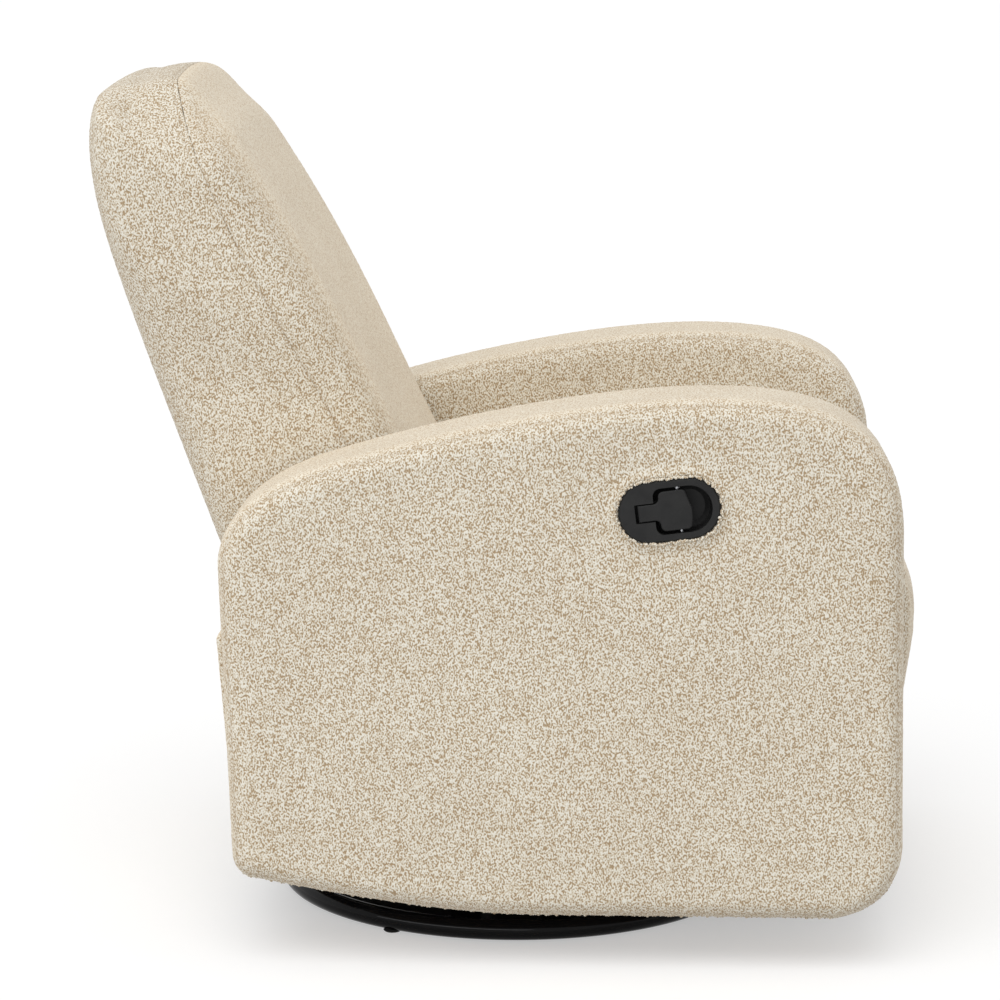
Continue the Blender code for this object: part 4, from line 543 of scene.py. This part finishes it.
def block_mesh(name, cuts, half, radius, shape, keep=None):
    """A rounded block of half sizes, each point passed through shape(x, y, z)."""
    made, places, flats, faces = {}, [], [], []
    last = [len(s) - 1 for s in cuts]

    def vert(key):
        if key not in made:
            p = Vector([cuts[n][key[n]] for n in range(3)])
            q = Vector([max(radius - half[n], min(half[n] - radius, p[n])) for n in range(3)])
            flat = q + (p - q).normalized() * radius
            made[key] = len(places)
            flats.append(tuple(flat))
            places.append(shape(*flat))
        return made[key]

    for n in range(3):
        a, b = [m for m in range(3) if m != n]
        for end in (0, last[n]):
            turn = (n == 1) == (end > 0)
            for i in range(last[a]):
                for j in range(last[b]):
                    keys = []
                    for di, dj in ((0, 0), (1, 0), (1, 1), (0, 1)):
                        key = [0, 0, 0]
                        key[n], key[a], key[b] = end, i + di, j + dj
                        keys.append(tuple(key))
                    if keep is None or all(keep(*[cuts[m][k[m]] for m in range(3)]) for k in keys):
                        ring = [vert(k) for k in keys]
                        faces.append(ring if turn else ring[::-1])
    mesh = bpy.data.meshes.new(name)
    mesh.from_pydata(places, [], faces)
    mesh.attributes.new("flat", "FLOAT_VECTOR", "POINT").data.foreach_set(
        "vector", np.asarray(flats, np.float32).ravel())
    bm = bmesh.new()
    bm.from_mesh(mesh)
    bmesh.ops.recalc_face_normals(bm, faces=bm.faces)
    return finished(bm, mesh)


def remeshed(rounds):
    """Modifiers that give an even mesh and wear its edges soft."""
    return (("REMESH", {"mode": "VOXEL", "voxel_size": VOXEL}),
            ("SMOOTH", {"factor": 0.5, "iterations": rounds}))


def changed(mesh, *modifiers):
    """The mesh with the named modifiers and their settings applied in order."""
    work = link("work_" + mesh.name, mesh)
    for kind, settings in modifiers:
        modifier = work.modifiers.new(kind, kind)
        for key, value in settings.items():
            setattr(modifier, key, value)
    made = evaluated(work)
    bpy.data.objects.remove(work)
    return made


def inflated(mesh, held):
    """How far each point moves when the fabric is blown up, with the held points fixed."""
    start = points_of(mesh)
    obj = link("work_cloth", mesh.copy())
    group = obj.vertex_groups.new(name="held")
    group.add([int(i) for i in np.nonzero(held)[0]], 1.0, "REPLACE")
    modifier = obj.modifiers.new("Cloth", "CLOTH")
    cloth = modifier.settings
    cloth.quality = 5
    cloth.vertex_group_mass = "held"
    cloth.use_pressure = True
    cloth.uniform_pressure_force = CLOTH_PRESSURE
    cloth.effector_weights.gravity = 0.0
    modifier.collision_settings.use_collision = False
    for step in range(1, CLOTH_FRAMES + 1):
        bpy.context.scene.frame_set(step)
    made = evaluated(obj)
    move = points_of(made) - start
    bpy.data.objects.remove(obj)
    bpy.context.scene.frame_set(1)
    size = np.linalg.norm(move, axis=1)
    return move * np.minimum(1, CLOTH_CAP / np.maximum(size, 1e-9))[:, None]


def crowned(mesh, held, way, rows, soft, share=1.0):
    """Blow the fabric up, then set it back so that each row keeps its height along way."""
    start = points_of(mesh)
    move = inflated(mesh, held) * share
    out = move @ way
    low, high = rows.min(), rows.max()
    count = CROWN_ROWS
    bins = np.clip(((rows - low) / (high - low) * count).astype(int), 0, count - 1)
    reach = start @ way
    most = np.zeros(count)
    for k in range(count):
        here = (bins == k) & (soft > 0.5)
        if here.any():
            top = reach[here] > reach[here].max() - CROWN_BAND
            most[k] = out[here][top].max()
    most = np.convolve(np.pad(most, 2, mode="edge"), np.ones(5) / 5, mode="valid")
    centres = low + (np.arange(count) + 0.5) * (high - low) / count
    back = np.interp(rows, centres, most) * soft
    set_points(mesh, start + move - back[:, None] * way)


# Arms
def handle_frame():
    tilt = math.radians(HANDLE_TILT)
    forward = Vector((0, -math.cos(tilt), math.sin(tilt)))
    upward = Vector((0, math.sin(tilt), math.cos(tilt)))
    outward = Vector((-1, 0, 0))
    origin = Vector((-ARM_OUTER_X, HANDLE_Y, HANDLE_Z))
    return Matrix((
        (forward.x, upward.x, outward.x, origin.x), (forward.y, upward.y, outward.y, origin.y),
        (forward.z, upward.z, outward.z, origin.z), (0, 0, 0, 1)))


def stadium(length, height, steps=14):
    r, flat = height / 2, (length - height) / 2
    points = []
    for end in (1, -1):
        for k in range(steps + 1):
            a = end * (-math.pi / 2 + math.pi * k / steps)
            points.append((end * (flat + r * math.cos(a)), r * math.sin(a)))
    return points


def handle_cutter():
    place = handle_frame()
    line = stadium(BEZEL_LENGTH - BEZEL_WALL * 2 + HANDLE_CUT_PLAY,
                   BEZEL_HEIGHT - BEZEL_WALL * 1.5 + HANDLE_CUT_PLAY)
    rings = [[place @ Vector((u, v, w)) for u, v in line] for w in HANDLE_CUT_SPAN]
    return link("work_cut", loft_mesh("work_cut", rings))


def handle_gap(co):
    """Distance of each point from the handle's rim, along the arm's face."""
    local = np.array(handle_frame().inverted())
    flat = co @ local[:3, :3].T + local[:3, 3]
    straight = (BEZEL_LENGTH - BEZEL_HEIGHT) / 2
    reach = np.hypot(np.maximum(np.abs(flat[:, 0]) - straight, 0), flat[:, 1])
    return reach - BEZEL_HEIGHT / 2


def beads(name, spots):
    """Small balls of pile, each given by its centre and radius."""
    bm = bmesh.new()
    for centre, radius in spots:
        bmesh.ops.create_icosphere(bm, subdivisions=2, radius=radius,
                                   matrix=Matrix.Translation(centre))
    return finished(bm, bpy.data.meshes.new(name))


def rim_loops():
    """Loops of pile that stand up round the handle's rim."""
    place = handle_frame()
    rng = np.random.default_rng(5)
    line = np.array(stadium(BEZEL_LENGTH + RIM_LOOP_GAP, BEZEL_HEIGHT + RIM_LOOP_GAP, 48))
    line = np.vstack((line, line[:1]))
    run = run_along(line)
    spots = []
    for s in np.arange(0, run[-1], RIM_LOOP_STEP):
        u, v = np.interp(s, run, line[:, 0]), np.interp(s, run, line[:, 1])
        grow = 1 + rng.uniform(-0.0008, 0.0016) / 0.04
        size = rng.uniform(0.0013, 0.0021)
        depth = BEZEL_FLANGE - size * rng.uniform(0.2, 0.9)
        spots.append((place @ Vector((u * grow, v * grow, depth)), size))
    return beads("loops", spots)


def fringe(outline, x):
    """Loops of pile along the lower edge of an arm."""
    rng = np.random.default_rng(9)
    line = np.array([p for p in outline if p[1] < ARM_HEEL_Z + 0.006])
    run = run_along(line)
    spots = []
    for s in np.arange(0, run[-1], FRINGE_STEP):
        size = rng.uniform(0.0014, 0.0022)
        across = x + rng.uniform(-0.002, 0.002)
        height = np.interp(s, run, line[:, 1]) + size * rng.uniform(-0.2, 0.6)
        spots.append((Vector((across, np.interp(s, run, line[:, 0]), height)), size))
    return beads("fringe", spots)


def along_outline(co, outline):
    """How far each point lies from the outline in the side view, and how far along it."""
    line = np.array(outline)
    run = run_along(line)
    tree = KDTree(len(line))
    for i, p in enumerate(line):
        tree.insert((p[0], p[1], 0), i)
    tree.balance()
    depth, along = np.empty(len(co)), np.empty(len(co))
    for i, p in enumerate(co):
        _, k, _ = tree.find((p[1], p[2], 0))
        before, after = line[k - 1], line[(k + 1) % len(line)]
        tangent = (after - before) / np.linalg.norm(after - before)
        offset = p[1:] - line[k]
        depth[i] = abs(offset[0] * tangent[1] - offset[1] * tangent[0])
        along[i] = run[k] + offset @ tangent
    return depth, along


def arm_shell(label, side, outline, middle, half):
    """An arm's rounded plate, hollow and open underneath, with the handle's hole on the right."""
    mesh = rounded_plate("arm_" + label, outline, middle, half - NUB * 0.3, ARM_EDGE_RADIUS)
    toe_top = ARM_BOTTOM_Z + ARM_TOE_RADIUS + 0.001
    cavity = [(y, z if z > toe_top else ARM_BOTTOM_Z - PADDING) for y, z in inset(outline, PADDING)]
    wide = half - PADDING
    hollow = link("work_hollow", loft_mesh("work_hollow", [
        [(x, y, z) for y, z in cavity] for x in (middle - wide, middle + wide)]))
    cutters = [hollow] + ([handle_cutter()] if side < 0 else [])
    cuts = [("BOOLEAN", {"operation": "DIFFERENCE", "solver": "EXACT", "object": c})
            for c in cutters]
    mesh = changed(mesh, *cuts, *remeshed(5))
    for obj in cutters:
        bpy.data.objects.remove(obj)
    return mesh


def arm_bulge(co, depth, middle, half):
    """How far each point of an arm's faces swells outwards, with a ridge round the handle."""
    puff = ARM_PUFF * (1 - np.exp(-depth / ARM_PUFF_REACH))
    puff *= np.abs(co[:, 0] - middle) > half - 0.003
    if middle < 0:
        gap = handle_gap(co)
        outer = co[:, 0] < -ARM_OUTER_X + 0.003
        puff *= np.where(outer, 1 - np.exp(-(np.maximum(gap, 0) / ARM_PUFF_REACH) ** 2), 1)
        past = np.maximum(gap - HANDLE_RIDGE_RISE, 0)
        ridge = soft_step(0.0, HANDLE_RIDGE_RISE, gap) * np.exp(-(past / HANDLE_RIDGE_FALL) ** 2)
        puff += np.where(outer, HANDLE_RIDGE * ridge, 0)
    return puff


def arm(label, side, mat):
    outline = arm_outline()
    half, middle = (ARM_OUTER_X - ARM_INNER_X) / 2, side * (ARM_INNER_X + ARM_OUTER_X) / 2
    mesh = arm_shell(label, side, outline, middle, half)
    co = points_of(mesh)
    depth, along = along_outline(co, outline)
    rim = np.abs(co[:, 0] - middle) > half - ARM_SEAM_RIM
    sewn = np.where(rim & (depth < ARM_SEAM_REACH), stitched(depth - ARM_SEAM_INSET, along), 0)
    co[:, 0] += arm_bulge(co, depth, middle, half) * np.sign(co[:, 0] - middle)
    if side > 0:
        ahead = soft_step(*FAR_BROW_ALONG, co[:, 1]) * soft_step(*FAR_BROW_UP, co[:, 2])
        co[:, 1] -= FAR_BROW * ahead
    set_points(mesh, co)
    groove(mesh, sewn, ARM_GROOVE)
    nubs(mesh, side)
    bm = bmesh.new()
    bm.from_mesh(mesh)
    bm.from_mesh(fringe(outline, side * (ARM_OUTER_X - ARM_EDGE_RADIUS)))
    if side < 0:
        bm.from_mesh(rim_loops())
    finished(bm, mesh)
    sewn = np.concatenate((sewn, np.zeros(len(mesh.vertices) - len(sewn))))
    # Painted shade: the sewn lines round the arm's faces are darkened through the crease attribute as
    # well as grooved
    soft_piece(f"arm_padding_{label}", mesh, "chassis", [f"arm_cover_{label}"], mat,
               sewn * 0.5, ARM_SHEEN)


# Back
def back_line(bends, rise, u):
    """Point at share u up a line given by four (y, share of the height) bends."""
    span = BACK_TOP_Z + rise - BACK_BOTTOM_Z
    s = 1 - u
    weights = (s ** 3, 3 * s * s * u, 3 * s * u * u, u ** 3)
    return (sum(w * y for w, (y, _) in zip(weights, bends)),
            BACK_BOTTOM_Z + span * sum(w * share for w, (_, share) in zip(weights, bends)))


def back_point(x, depth, rise):
    """Place a point of the straight back block: depth forward of the seam, rise up it."""
    u = rise / BACK_LENGTH
    seam = back_line(BACK_SEAM_BENDS, 0.0, u)
    if depth <= 0:
        v, end = -depth / BACK_GUSSET_DEPTH, back_line(BACK_REAR_BENDS, BACK_REAR_TOP_RISE, u)
    else:
        v, end = depth / BACK_FRONT_DEPTH, back_line(BACK_FRONT_BENDS, -BACK_FRONT_TOP_DROP, u)
    widen = min(1.0, max(0.0, (u - BACK_WIDEN[0]) / (BACK_WIDEN[1] - BACK_WIDEN[0])))
    widen = widen * widen * (3 - 2 * widen)
    half = SEAT_HALF_WIDTH + (BACK_HALF_WIDTH - SEAT_HALF_WIDTH) * widen
    over = rise - (BACK_LENGTH - BACK_CORNER_RADIUS)
    if over > 0:
        turn = math.pi / 2 * min(1.0, over / (BACK_CORNER_RADIUS * 0.95)) ** 1.3
        half -= BACK_CORNER_DEPTH * math.sin(turn) ** 2
    y, z = seam[0] + (end[0] - seam[0]) * v, seam[1] + (end[1] - seam[1]) * v * v
    dome = sum(lift * math.exp(-((y - at) / reach) ** 2) for at, reach, lift in BACK_DOME)
    arch = BACK_ARCH_LIFT - BACK_ARCH * (x / BACK_HALF_WIDTH) ** 2
    top = max(0.0, (u - BACK_ARCH_FROM) / (1 - BACK_ARCH_FROM)) ** 2
    return (x * half / BACK_HALF_WIDTH, y,
            z + arch * top + dome * max(0.0, (u - BACK_DOME_FROM) / (1 - BACK_DOME_FROM)))


def back_cuts():
    """Cut positions of the straight back block, close together where the seam runs."""
    radius = BACK_EDGE_RADIUS
    front = [-e for e in reversed(edge_cuts(BACK_FRONT_DEPTH - radius, radius, 12))]
    rear = edge_cuts(BACK_GUSSET_DEPTH - radius, radius, 9)
    seam = [radius - BACK_FRONT_DEPTH, -0.006, -0.0025, 0.0, 0.0025, 0.006, 0.012]
    across = front + seam + list(np.linspace(0.018, BACK_GUSSET_DEPTH - radius, 18)) + rear
    height = BACK_LENGTH + radius
    shift = (BACK_GUSSET_DEPTH - BACK_FRONT_DEPTH) / 2
    up = even_cuts(height / 2, radius)
    half = (BACK_HALF_WIDTH, (BACK_GUSSET_DEPTH + BACK_FRONT_DEPTH) / 2, height / 2)
    return (even_cuts(BACK_HALF_WIDTH, radius), [a - shift for a in across], up), half, shift


def back_places(mesh, shift, lift):
    """Depth forward of the seam, rise and length along the seam of each point."""
    flat = read_flat(mesh)
    depth, rise = -(flat[:, 1] + shift), flat[:, 2] + lift
    return depth, rise, rise + np.abs(flat[:, 0])


def back_shell(cuts, half, shift, lift, mat):
    def cover(x, y, z):
        return back_point(x, min(0.0, -(y + shift)), max(0.0, z + lift))

    shell = block_mesh("back_shell", cuts, half, BACK_EDGE_RADIUS, cover,
                       lambda x, y, z: y + shift > -WELD and z + lift > -WELD)
    shell = changed(shell, ("SOLIDIFY", {"thickness": BACK_WALL, "offset": -1.0,
                                         "edge_crease_outer": 1.0}), FINER)
    depth, rise, along = back_places(shell, shift, lift)
    sewn = stitched(depth, along, BROAD_SEAM)
    second = stitched(depth + SECOND_ROW_GAP, along + STITCH / 2, SECOND_SEAM)
    second *= soft_step(*SECOND_ROW_RISE, rise)
    groove(shell, sewn * 0.5 + second, BACK_GROOVE)
    nubs(shell, 3.0)
    # Painted shade: both rows of stitching are darkened through the crease attribute as well as
    # grooved
    soft_piece("back_shell_padding", shell, "back", ["back_cover"], mat,
               np.clip(sewn * 0.4 + second * 0.65, 0, 1), SHELL_SHEEN)


def back_pillow(cuts, half, shift, lift, mat):
    middle = BACK_LENGTH / 2

    def pillow(x, y, z):
        depth, rise = -(y + shift), max(0.0, z + lift)
        if depth < 0:
            inwards = min(-depth, PILLOW_TUCK_DEPTH) * PILLOW_TUCK
            x *= 1 - inwards / BACK_HALF_WIDTH
            rise = middle + (rise - middle) * (1 - inwards / middle)
            depth = -PILLOW_LAP
        return back_point(x, depth, rise)

    front = block_mesh("back_front", cuts, half, BACK_EDGE_RADIUS, pillow)
    depth, rise, _ = back_places(front, shift, lift)
    crowned(front, depth < 0.006, np.array((0.0, -0.93, 0.37)), rise,
            soft_step(0.004, 0.045, depth))
    front = changed(front, FINER)
    depth, rise, along = back_places(front, shift, lift)
    sewn = stitched(depth, along, BROAD_SEAM)
    groove(front, sewn * 0.5, BACK_GROOVE)
    nubs(front, 4.0)
    # Painted shade: a brownish band where the pillow's side turns to its front, added to the seam's
    # shade in the crease attribute
    edge = np.exp(-((np.abs(normals_of(front)[:, 0]) - 0.62) / 0.22) ** 2) * (depth > 0.004)
    soft_piece("back_pillow", front, "back", ["back_cushion"], mat, sewn * 0.4 + edge * 0.13)


def back(mat):
    cuts, half, shift = back_cuts()
    lift = BACK_LENGTH - half[2]
    back_shell(cuts, half, shift, lift, mat)
    back_pillow(cuts, half, shift, lift, mat)


# Seat and footrest
def seat_piece(mat):
    centre = ((SEAT_FRONT_Y + SEAT_REAR_Y) / 2, (SEAT_BASE_Z + SEAT_TOP_Z) / 2)
    half = (SEAT_HALF_WIDTH, (SEAT_REAR_Y - SEAT_FRONT_Y) / 2, (SEAT_TOP_Z - SEAT_BASE_Z) / 2)

    def shape(x, y, z):
        u, v = x / half[0], y / half[1]
        crown = SEAT_CROWN * (1 - u ** 4) * (1 - v ** 4) * max(z, 0) / half[2]
        return (x * (1 - SEAT_WAIST * (1 - v * v)), centre[0] + y, centre[1] + z + crown)

    cuts = [even_cuts(h, SEAT_RADIUS) for h in half]
    mesh = block_mesh("seat", cuts, half, SEAT_RADIUS, shape)
    flat = read_flat(mesh)
    seam_z = half[2] * SEAT_SEAM_SHARE
    held = (np.abs(flat[:, 2] - seam_z) < 0.003) | (flat[:, 2] < -half[2] * 0.6)
    top = soft_step(0.0, half[2] * 0.95, flat[:, 2])
    crowned(mesh, held, np.array((0.0, 0.0, 1.0)), flat[:, 1], top)
    mesh = changed(mesh, FINER)
    flat = read_flat(mesh)
    side = np.maximum(np.abs(flat[:, 0]) - half[0], np.abs(flat[:, 1]) - half[1]) > -0.016
    along = flat[:, 0] + flat[:, 1]
    upper = stitched(flat[:, 2] - seam_z, along) * side
    lower = stitched(flat[:, 2] + seam_z, along) * side
    groove(mesh, upper + lower, SEAT_GROOVE)
    nubs(mesh, 5.0)
    # Painted shade: the upper and lower seams are darkened through the crease attribute as well as
    # grooved
    soft_piece("seat_pillow", mesh, "chassis", ["seat_cushion"], mat, (upper + lower) * 0.6)


def footrest_piece(mat):
    top, low, crease = FOOT_PAD_TOP_Z, FOOT_BOTTOM_Z, FOOT_CREASE_Z
    half = (SEAT_HALF_WIDTH, FOOT_PAD_DEPTH / 2, (top - low) / 2)
    mid_z = (top + low) / 2
    lean = math.log(0.5) / math.log(FOOT_UPPER_PEAK)

    def shape(x, y, z):
        place_z = mid_z + z
        forward = max(0.0, -y) / half[1]
        if place_z > crease:
            s, crown, tuck = ((place_z - crease) / (top - crease)) ** lean, FOOT_UPPER_CROWN, 0
        else:
            s, crown = (crease - place_z) / (crease - low), FOOT_LOWER_CROWN
            tuck = FOOT_LOWER_TUCK * min(1.0, s * 4)
        swell = crown * max(0.0, math.sin(math.pi * min(s, 1.0))) ** FOOT_FULLNESS - tuck
        swell *= 1 - FOOT_SIDE_DROP * (x / half[0]) ** 4
        return (x, FOOT_FACE_Y - half[1] + y - swell * forward, place_z)

    cuts = [even_cuts(h, FOOT_RADIUS, FOOT_CELL) for h in half]
    mesh = block_mesh("footrest", cuts, half, FOOT_RADIUS, shape)
    flat = read_flat(mesh)
    held = (np.abs(flat[:, 2] + mid_z - crease) < 0.003) | (flat[:, 1] > -half[1] * 0.3)
    front = soft_step(0.0, half[1] * 0.95, -flat[:, 1])
    crowned(mesh, held, np.array((0.0, -1.0, 0.0)), flat[:, 2], front, 0.6)
    mesh = changed(mesh, FINER)
    flat = read_flat(mesh)
    channel = stitched(flat[:, 2] + mid_z - crease, flat[:, 0], BROAD_SEAM)
    channel *= flat[:, 1] < -half[1] * 0.5
    rim = np.abs(flat[:, 1] + half[1] * 0.3) < 0.002
    groove(mesh, channel, FOOT_GROOVE)
    nubs(mesh, 6.0)
    # Painted shade: the channel and the line where the pad's front meets its held back are darkened
    # through the crease attribute
    soft_piece("footrest_padding", mesh, "footrest", ["footrest_pad"], mat,
               channel * 0.6 + rim * 0.25)


def soft_from_cad(node_name, piece, body, mat, seed):
    """A CAD node's shape with soft edges and pile, in place of the node."""
    mesh = changed(cad_copy(node_name), *remeshed(6))
    nubs(mesh, seed)
    soft_piece(piece, mesh, body, [node_name], mat)


# Base
def turned(name, profile, body, node_name, mat, sides=160):
    """Turn a closed (radius, z) profile about Z, in place of a CAD node."""
    rings = []
    for k in range(sides + 1):
        a = 2 * math.pi * k / sides
        rings.append([(r * math.cos(a), r * math.sin(a), z) for r, z in profile])
    mesh = loft_mesh(name, rings, cap=False)
    bm = bmesh.new()
    bm.from_mesh(mesh)
    bmesh.ops.remove_doubles(bm, verts=bm.verts, dist=WELD)
    bmesh.ops.recalc_face_normals(bm, faces=bm.faces)
    finished(bm, mesh)
    mesh.shade_smooth()
    mesh.set_sharp_from_angle(angle=math.radians(50))
    mesh.materials.append(mat)
    obj = link(name, mesh)
    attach(obj, body)
    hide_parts(node_name)


def base(mat):
    ring_z = GLIDE_HEIGHT + RING_TUBE
    tube = [(RING_RADIUS + RING_TUBE * math.cos(a), ring_z + RING_TUBE * math.sin(a))
            for a in np.linspace(0, 2 * math.pi, 28, endpoint=False)]
    turned("round_tube_ring", tube, "base", "base_ring", mat)
    rim = RING_RADIUS - RING_TUBE - 0.0004
    slope = (PAN_HUB_Z - PAN_RIM_Z) / (rim - HUB_RADIUS)
    bend_z = PAN_RIM_Z + slope * PAN_LIP
    upper = [(PAN_BORE, PAN_HUB_Z), (HUB_RADIUS, PAN_HUB_Z), (rim - PAN_LIP, bend_z),
             (rim, PAN_RIM_Z)]
    profile = upper + [(r, z - PAN_THICKNESS) for r, z in reversed(upper)]
    turned("pressed_pan", profile, "base", "base_pan", mat)


# The scene
def dress_cad():
    """Detailed finishes and softened edges for the CAD pieces that stay in view."""
    finish = {"zinc_steel": zinc_steel("zinc"), "black_steel": gloss_black("gloss_black"),
              "black_plastic": matte_black("moulded_black"), "plywood": plywood("plywood"),
              "rubber": rubber("rubber")}
    for row in frame["record"]["subparts"]:
        slot = row["material_slot"]
        if slot not in finish:
            continue
        obj = NODES[row["node"]]
        obj.data.materials.clear()
        obj.data.materials.append(finish[slot])
        edge = obj.modifiers.new("Edge", "BEVEL")
        edge.width = 0.0006
        edge.segments = 2
        edge.limit_method = "ANGLE"
        edge.angle_limit = math.radians(35)
    return finish


def seen_directly(tree):
    """1 where a camera, glossy or transmission ray looks, else 0."""
    path = tree.nodes.new("ShaderNodeLightPath")
    seen = math_node(tree, "MAXIMUM", path.outputs["Is Camera Ray"], path.outputs["Is Glossy Ray"])
    return math_node(tree, "MAXIMUM", seen, path.outputs["Is Transmission Ray"])


def floor():
    """A pale floor that takes shadows and is white where it is seen without them."""
    bm = bmesh.new()
    bmesh.ops.create_grid(bm, x_segments=1, y_segments=1, size=120)
    obj = link("floor", finished(bm, bpy.data.meshes.new("floor")))
    mat = bpy.data.materials.new("floor")
    mat.use_nodes = True
    tree = mat.node_tree
    tree.nodes.clear()
    out = tree.nodes.new("ShaderNodeOutputMaterial")
    diffuse = node(tree, "ShaderNodeBsdfDiffuse")
    diffuse.inputs["Color"].default_value = (FLOOR_GREY, FLOOR_GREY, FLOOR_GREY, 1)
    glow = node(tree, "ShaderNodeEmission")
    tree.links.new(math_node(tree, "MULTIPLY", seen_directly(tree), FLOOR_GLOW),
                   glow.inputs["Strength"])
    both = tree.nodes.new("ShaderNodeAddShader")
    tree.links.new(diffuse.outputs[0], both.inputs[0])
    tree.links.new(glow.outputs[0], both.inputs[1])
    tree.links.new(both.outputs[0], out.inputs["Surface"])
    obj.data.materials.append(mat)


def studio():
    """An even white world that the camera and the gloss see at full strength."""
    world = bpy.data.worlds.new("studio")
    bpy.context.scene.world = world
    world.use_nodes = True
    tree = world.node_tree
    tree.nodes.clear()
    out = tree.nodes.new("ShaderNodeOutputWorld")
    pick = tree.nodes.new("ShaderNodeMixShader")
    tree.links.new(seen_directly(tree), pick.inputs[0])
    for slot, strength in ((1, SKY), (2, 1.0)):
        light = node(tree, "ShaderNodeBackground", Strength=strength)
        light.inputs["Color"].default_value = (1, 1, 1, 1)
        tree.links.new(light.outputs[0], pick.inputs[slot])
    tree.links.new(pick.outputs[0], out.inputs["Surface"])


def hang(light, place, aim):
    lamp = bpy.data.objects.new(light.name, light)
    bpy.context.scene.collection.objects.link(lamp)
    lamp.location = place
    lamp.rotation_mode = "QUATERNION"
    lamp.rotation_quaternion = aim.to_track_quat("-Z", "Y")


def lamps():
    """A broad soft sun, and a long low strip that the gloss base mirrors."""
    key = bpy.data.lights.new("key", "SUN")
    key.energy = KEY_POWER
    key.angle = math.radians(KEY_SPREAD)
    hang(key, Vector((0, 0, 6)), Vector(KEY_AIM))
    strip = bpy.data.lights.new("strip", "AREA")
    strip.shape = "RECTANGLE"
    strip.size, strip.size_y = STRIP_SIZE
    strip.energy = STRIP_POWER
    turn, rise = math.radians(STRIP_TURN), math.radians(STRIP_RISE)
    way = Vector((-math.cos(turn) * math.cos(rise), math.sin(turn) * math.cos(rise),
                  math.sin(rise)))
    hang(strip, way * STRIP_DISTANCE, -way)


def camera():
    azimuth, elevation = math.radians(CAMERA_AZIMUTH), math.radians(CAMERA_ELEVATION)
    back = Vector((math.sin(azimuth) * math.cos(elevation),
                   -math.cos(azimuth) * math.cos(elevation), math.sin(elevation)))
    data = bpy.data.cameras.new("camera")
    data.sensor_width = 36.0
    data.lens = CAMERA_LENS
    data.clip_end = 200.0
    cam = bpy.data.objects.new("camera", data)
    bpy.context.scene.collection.objects.link(cam)
    cam.location = Vector(CAMERA_TARGET) + back * CAMERA_DISTANCE
    cam.rotation_mode = "QUATERNION"
    cam.rotation_quaternion = (-back).to_track_quat("-Z", "Y")
    bpy.context.scene.camera = cam


def main():
    bpy.context.scene.view_settings.view_transform = "Standard"
    cloth = boucle("boucle")
    finish = dress_cad()
    for label, side in (("left", 1.0), ("right", -1.0)):
        arm(label, side, cloth)
    back(cloth)
    seat_piece(cloth)
    footrest_piece(cloth)
    soft_from_cad("rear_panel", "rear_panel_padding", "chassis", cloth, 7.0)
    soft_from_cad("back_skirt", "back_skirt_cloth", "back", cloth, 8.0)
    base(finish["black_steel"])
    floor()
    studio()
    lamps()
    camera()


main()
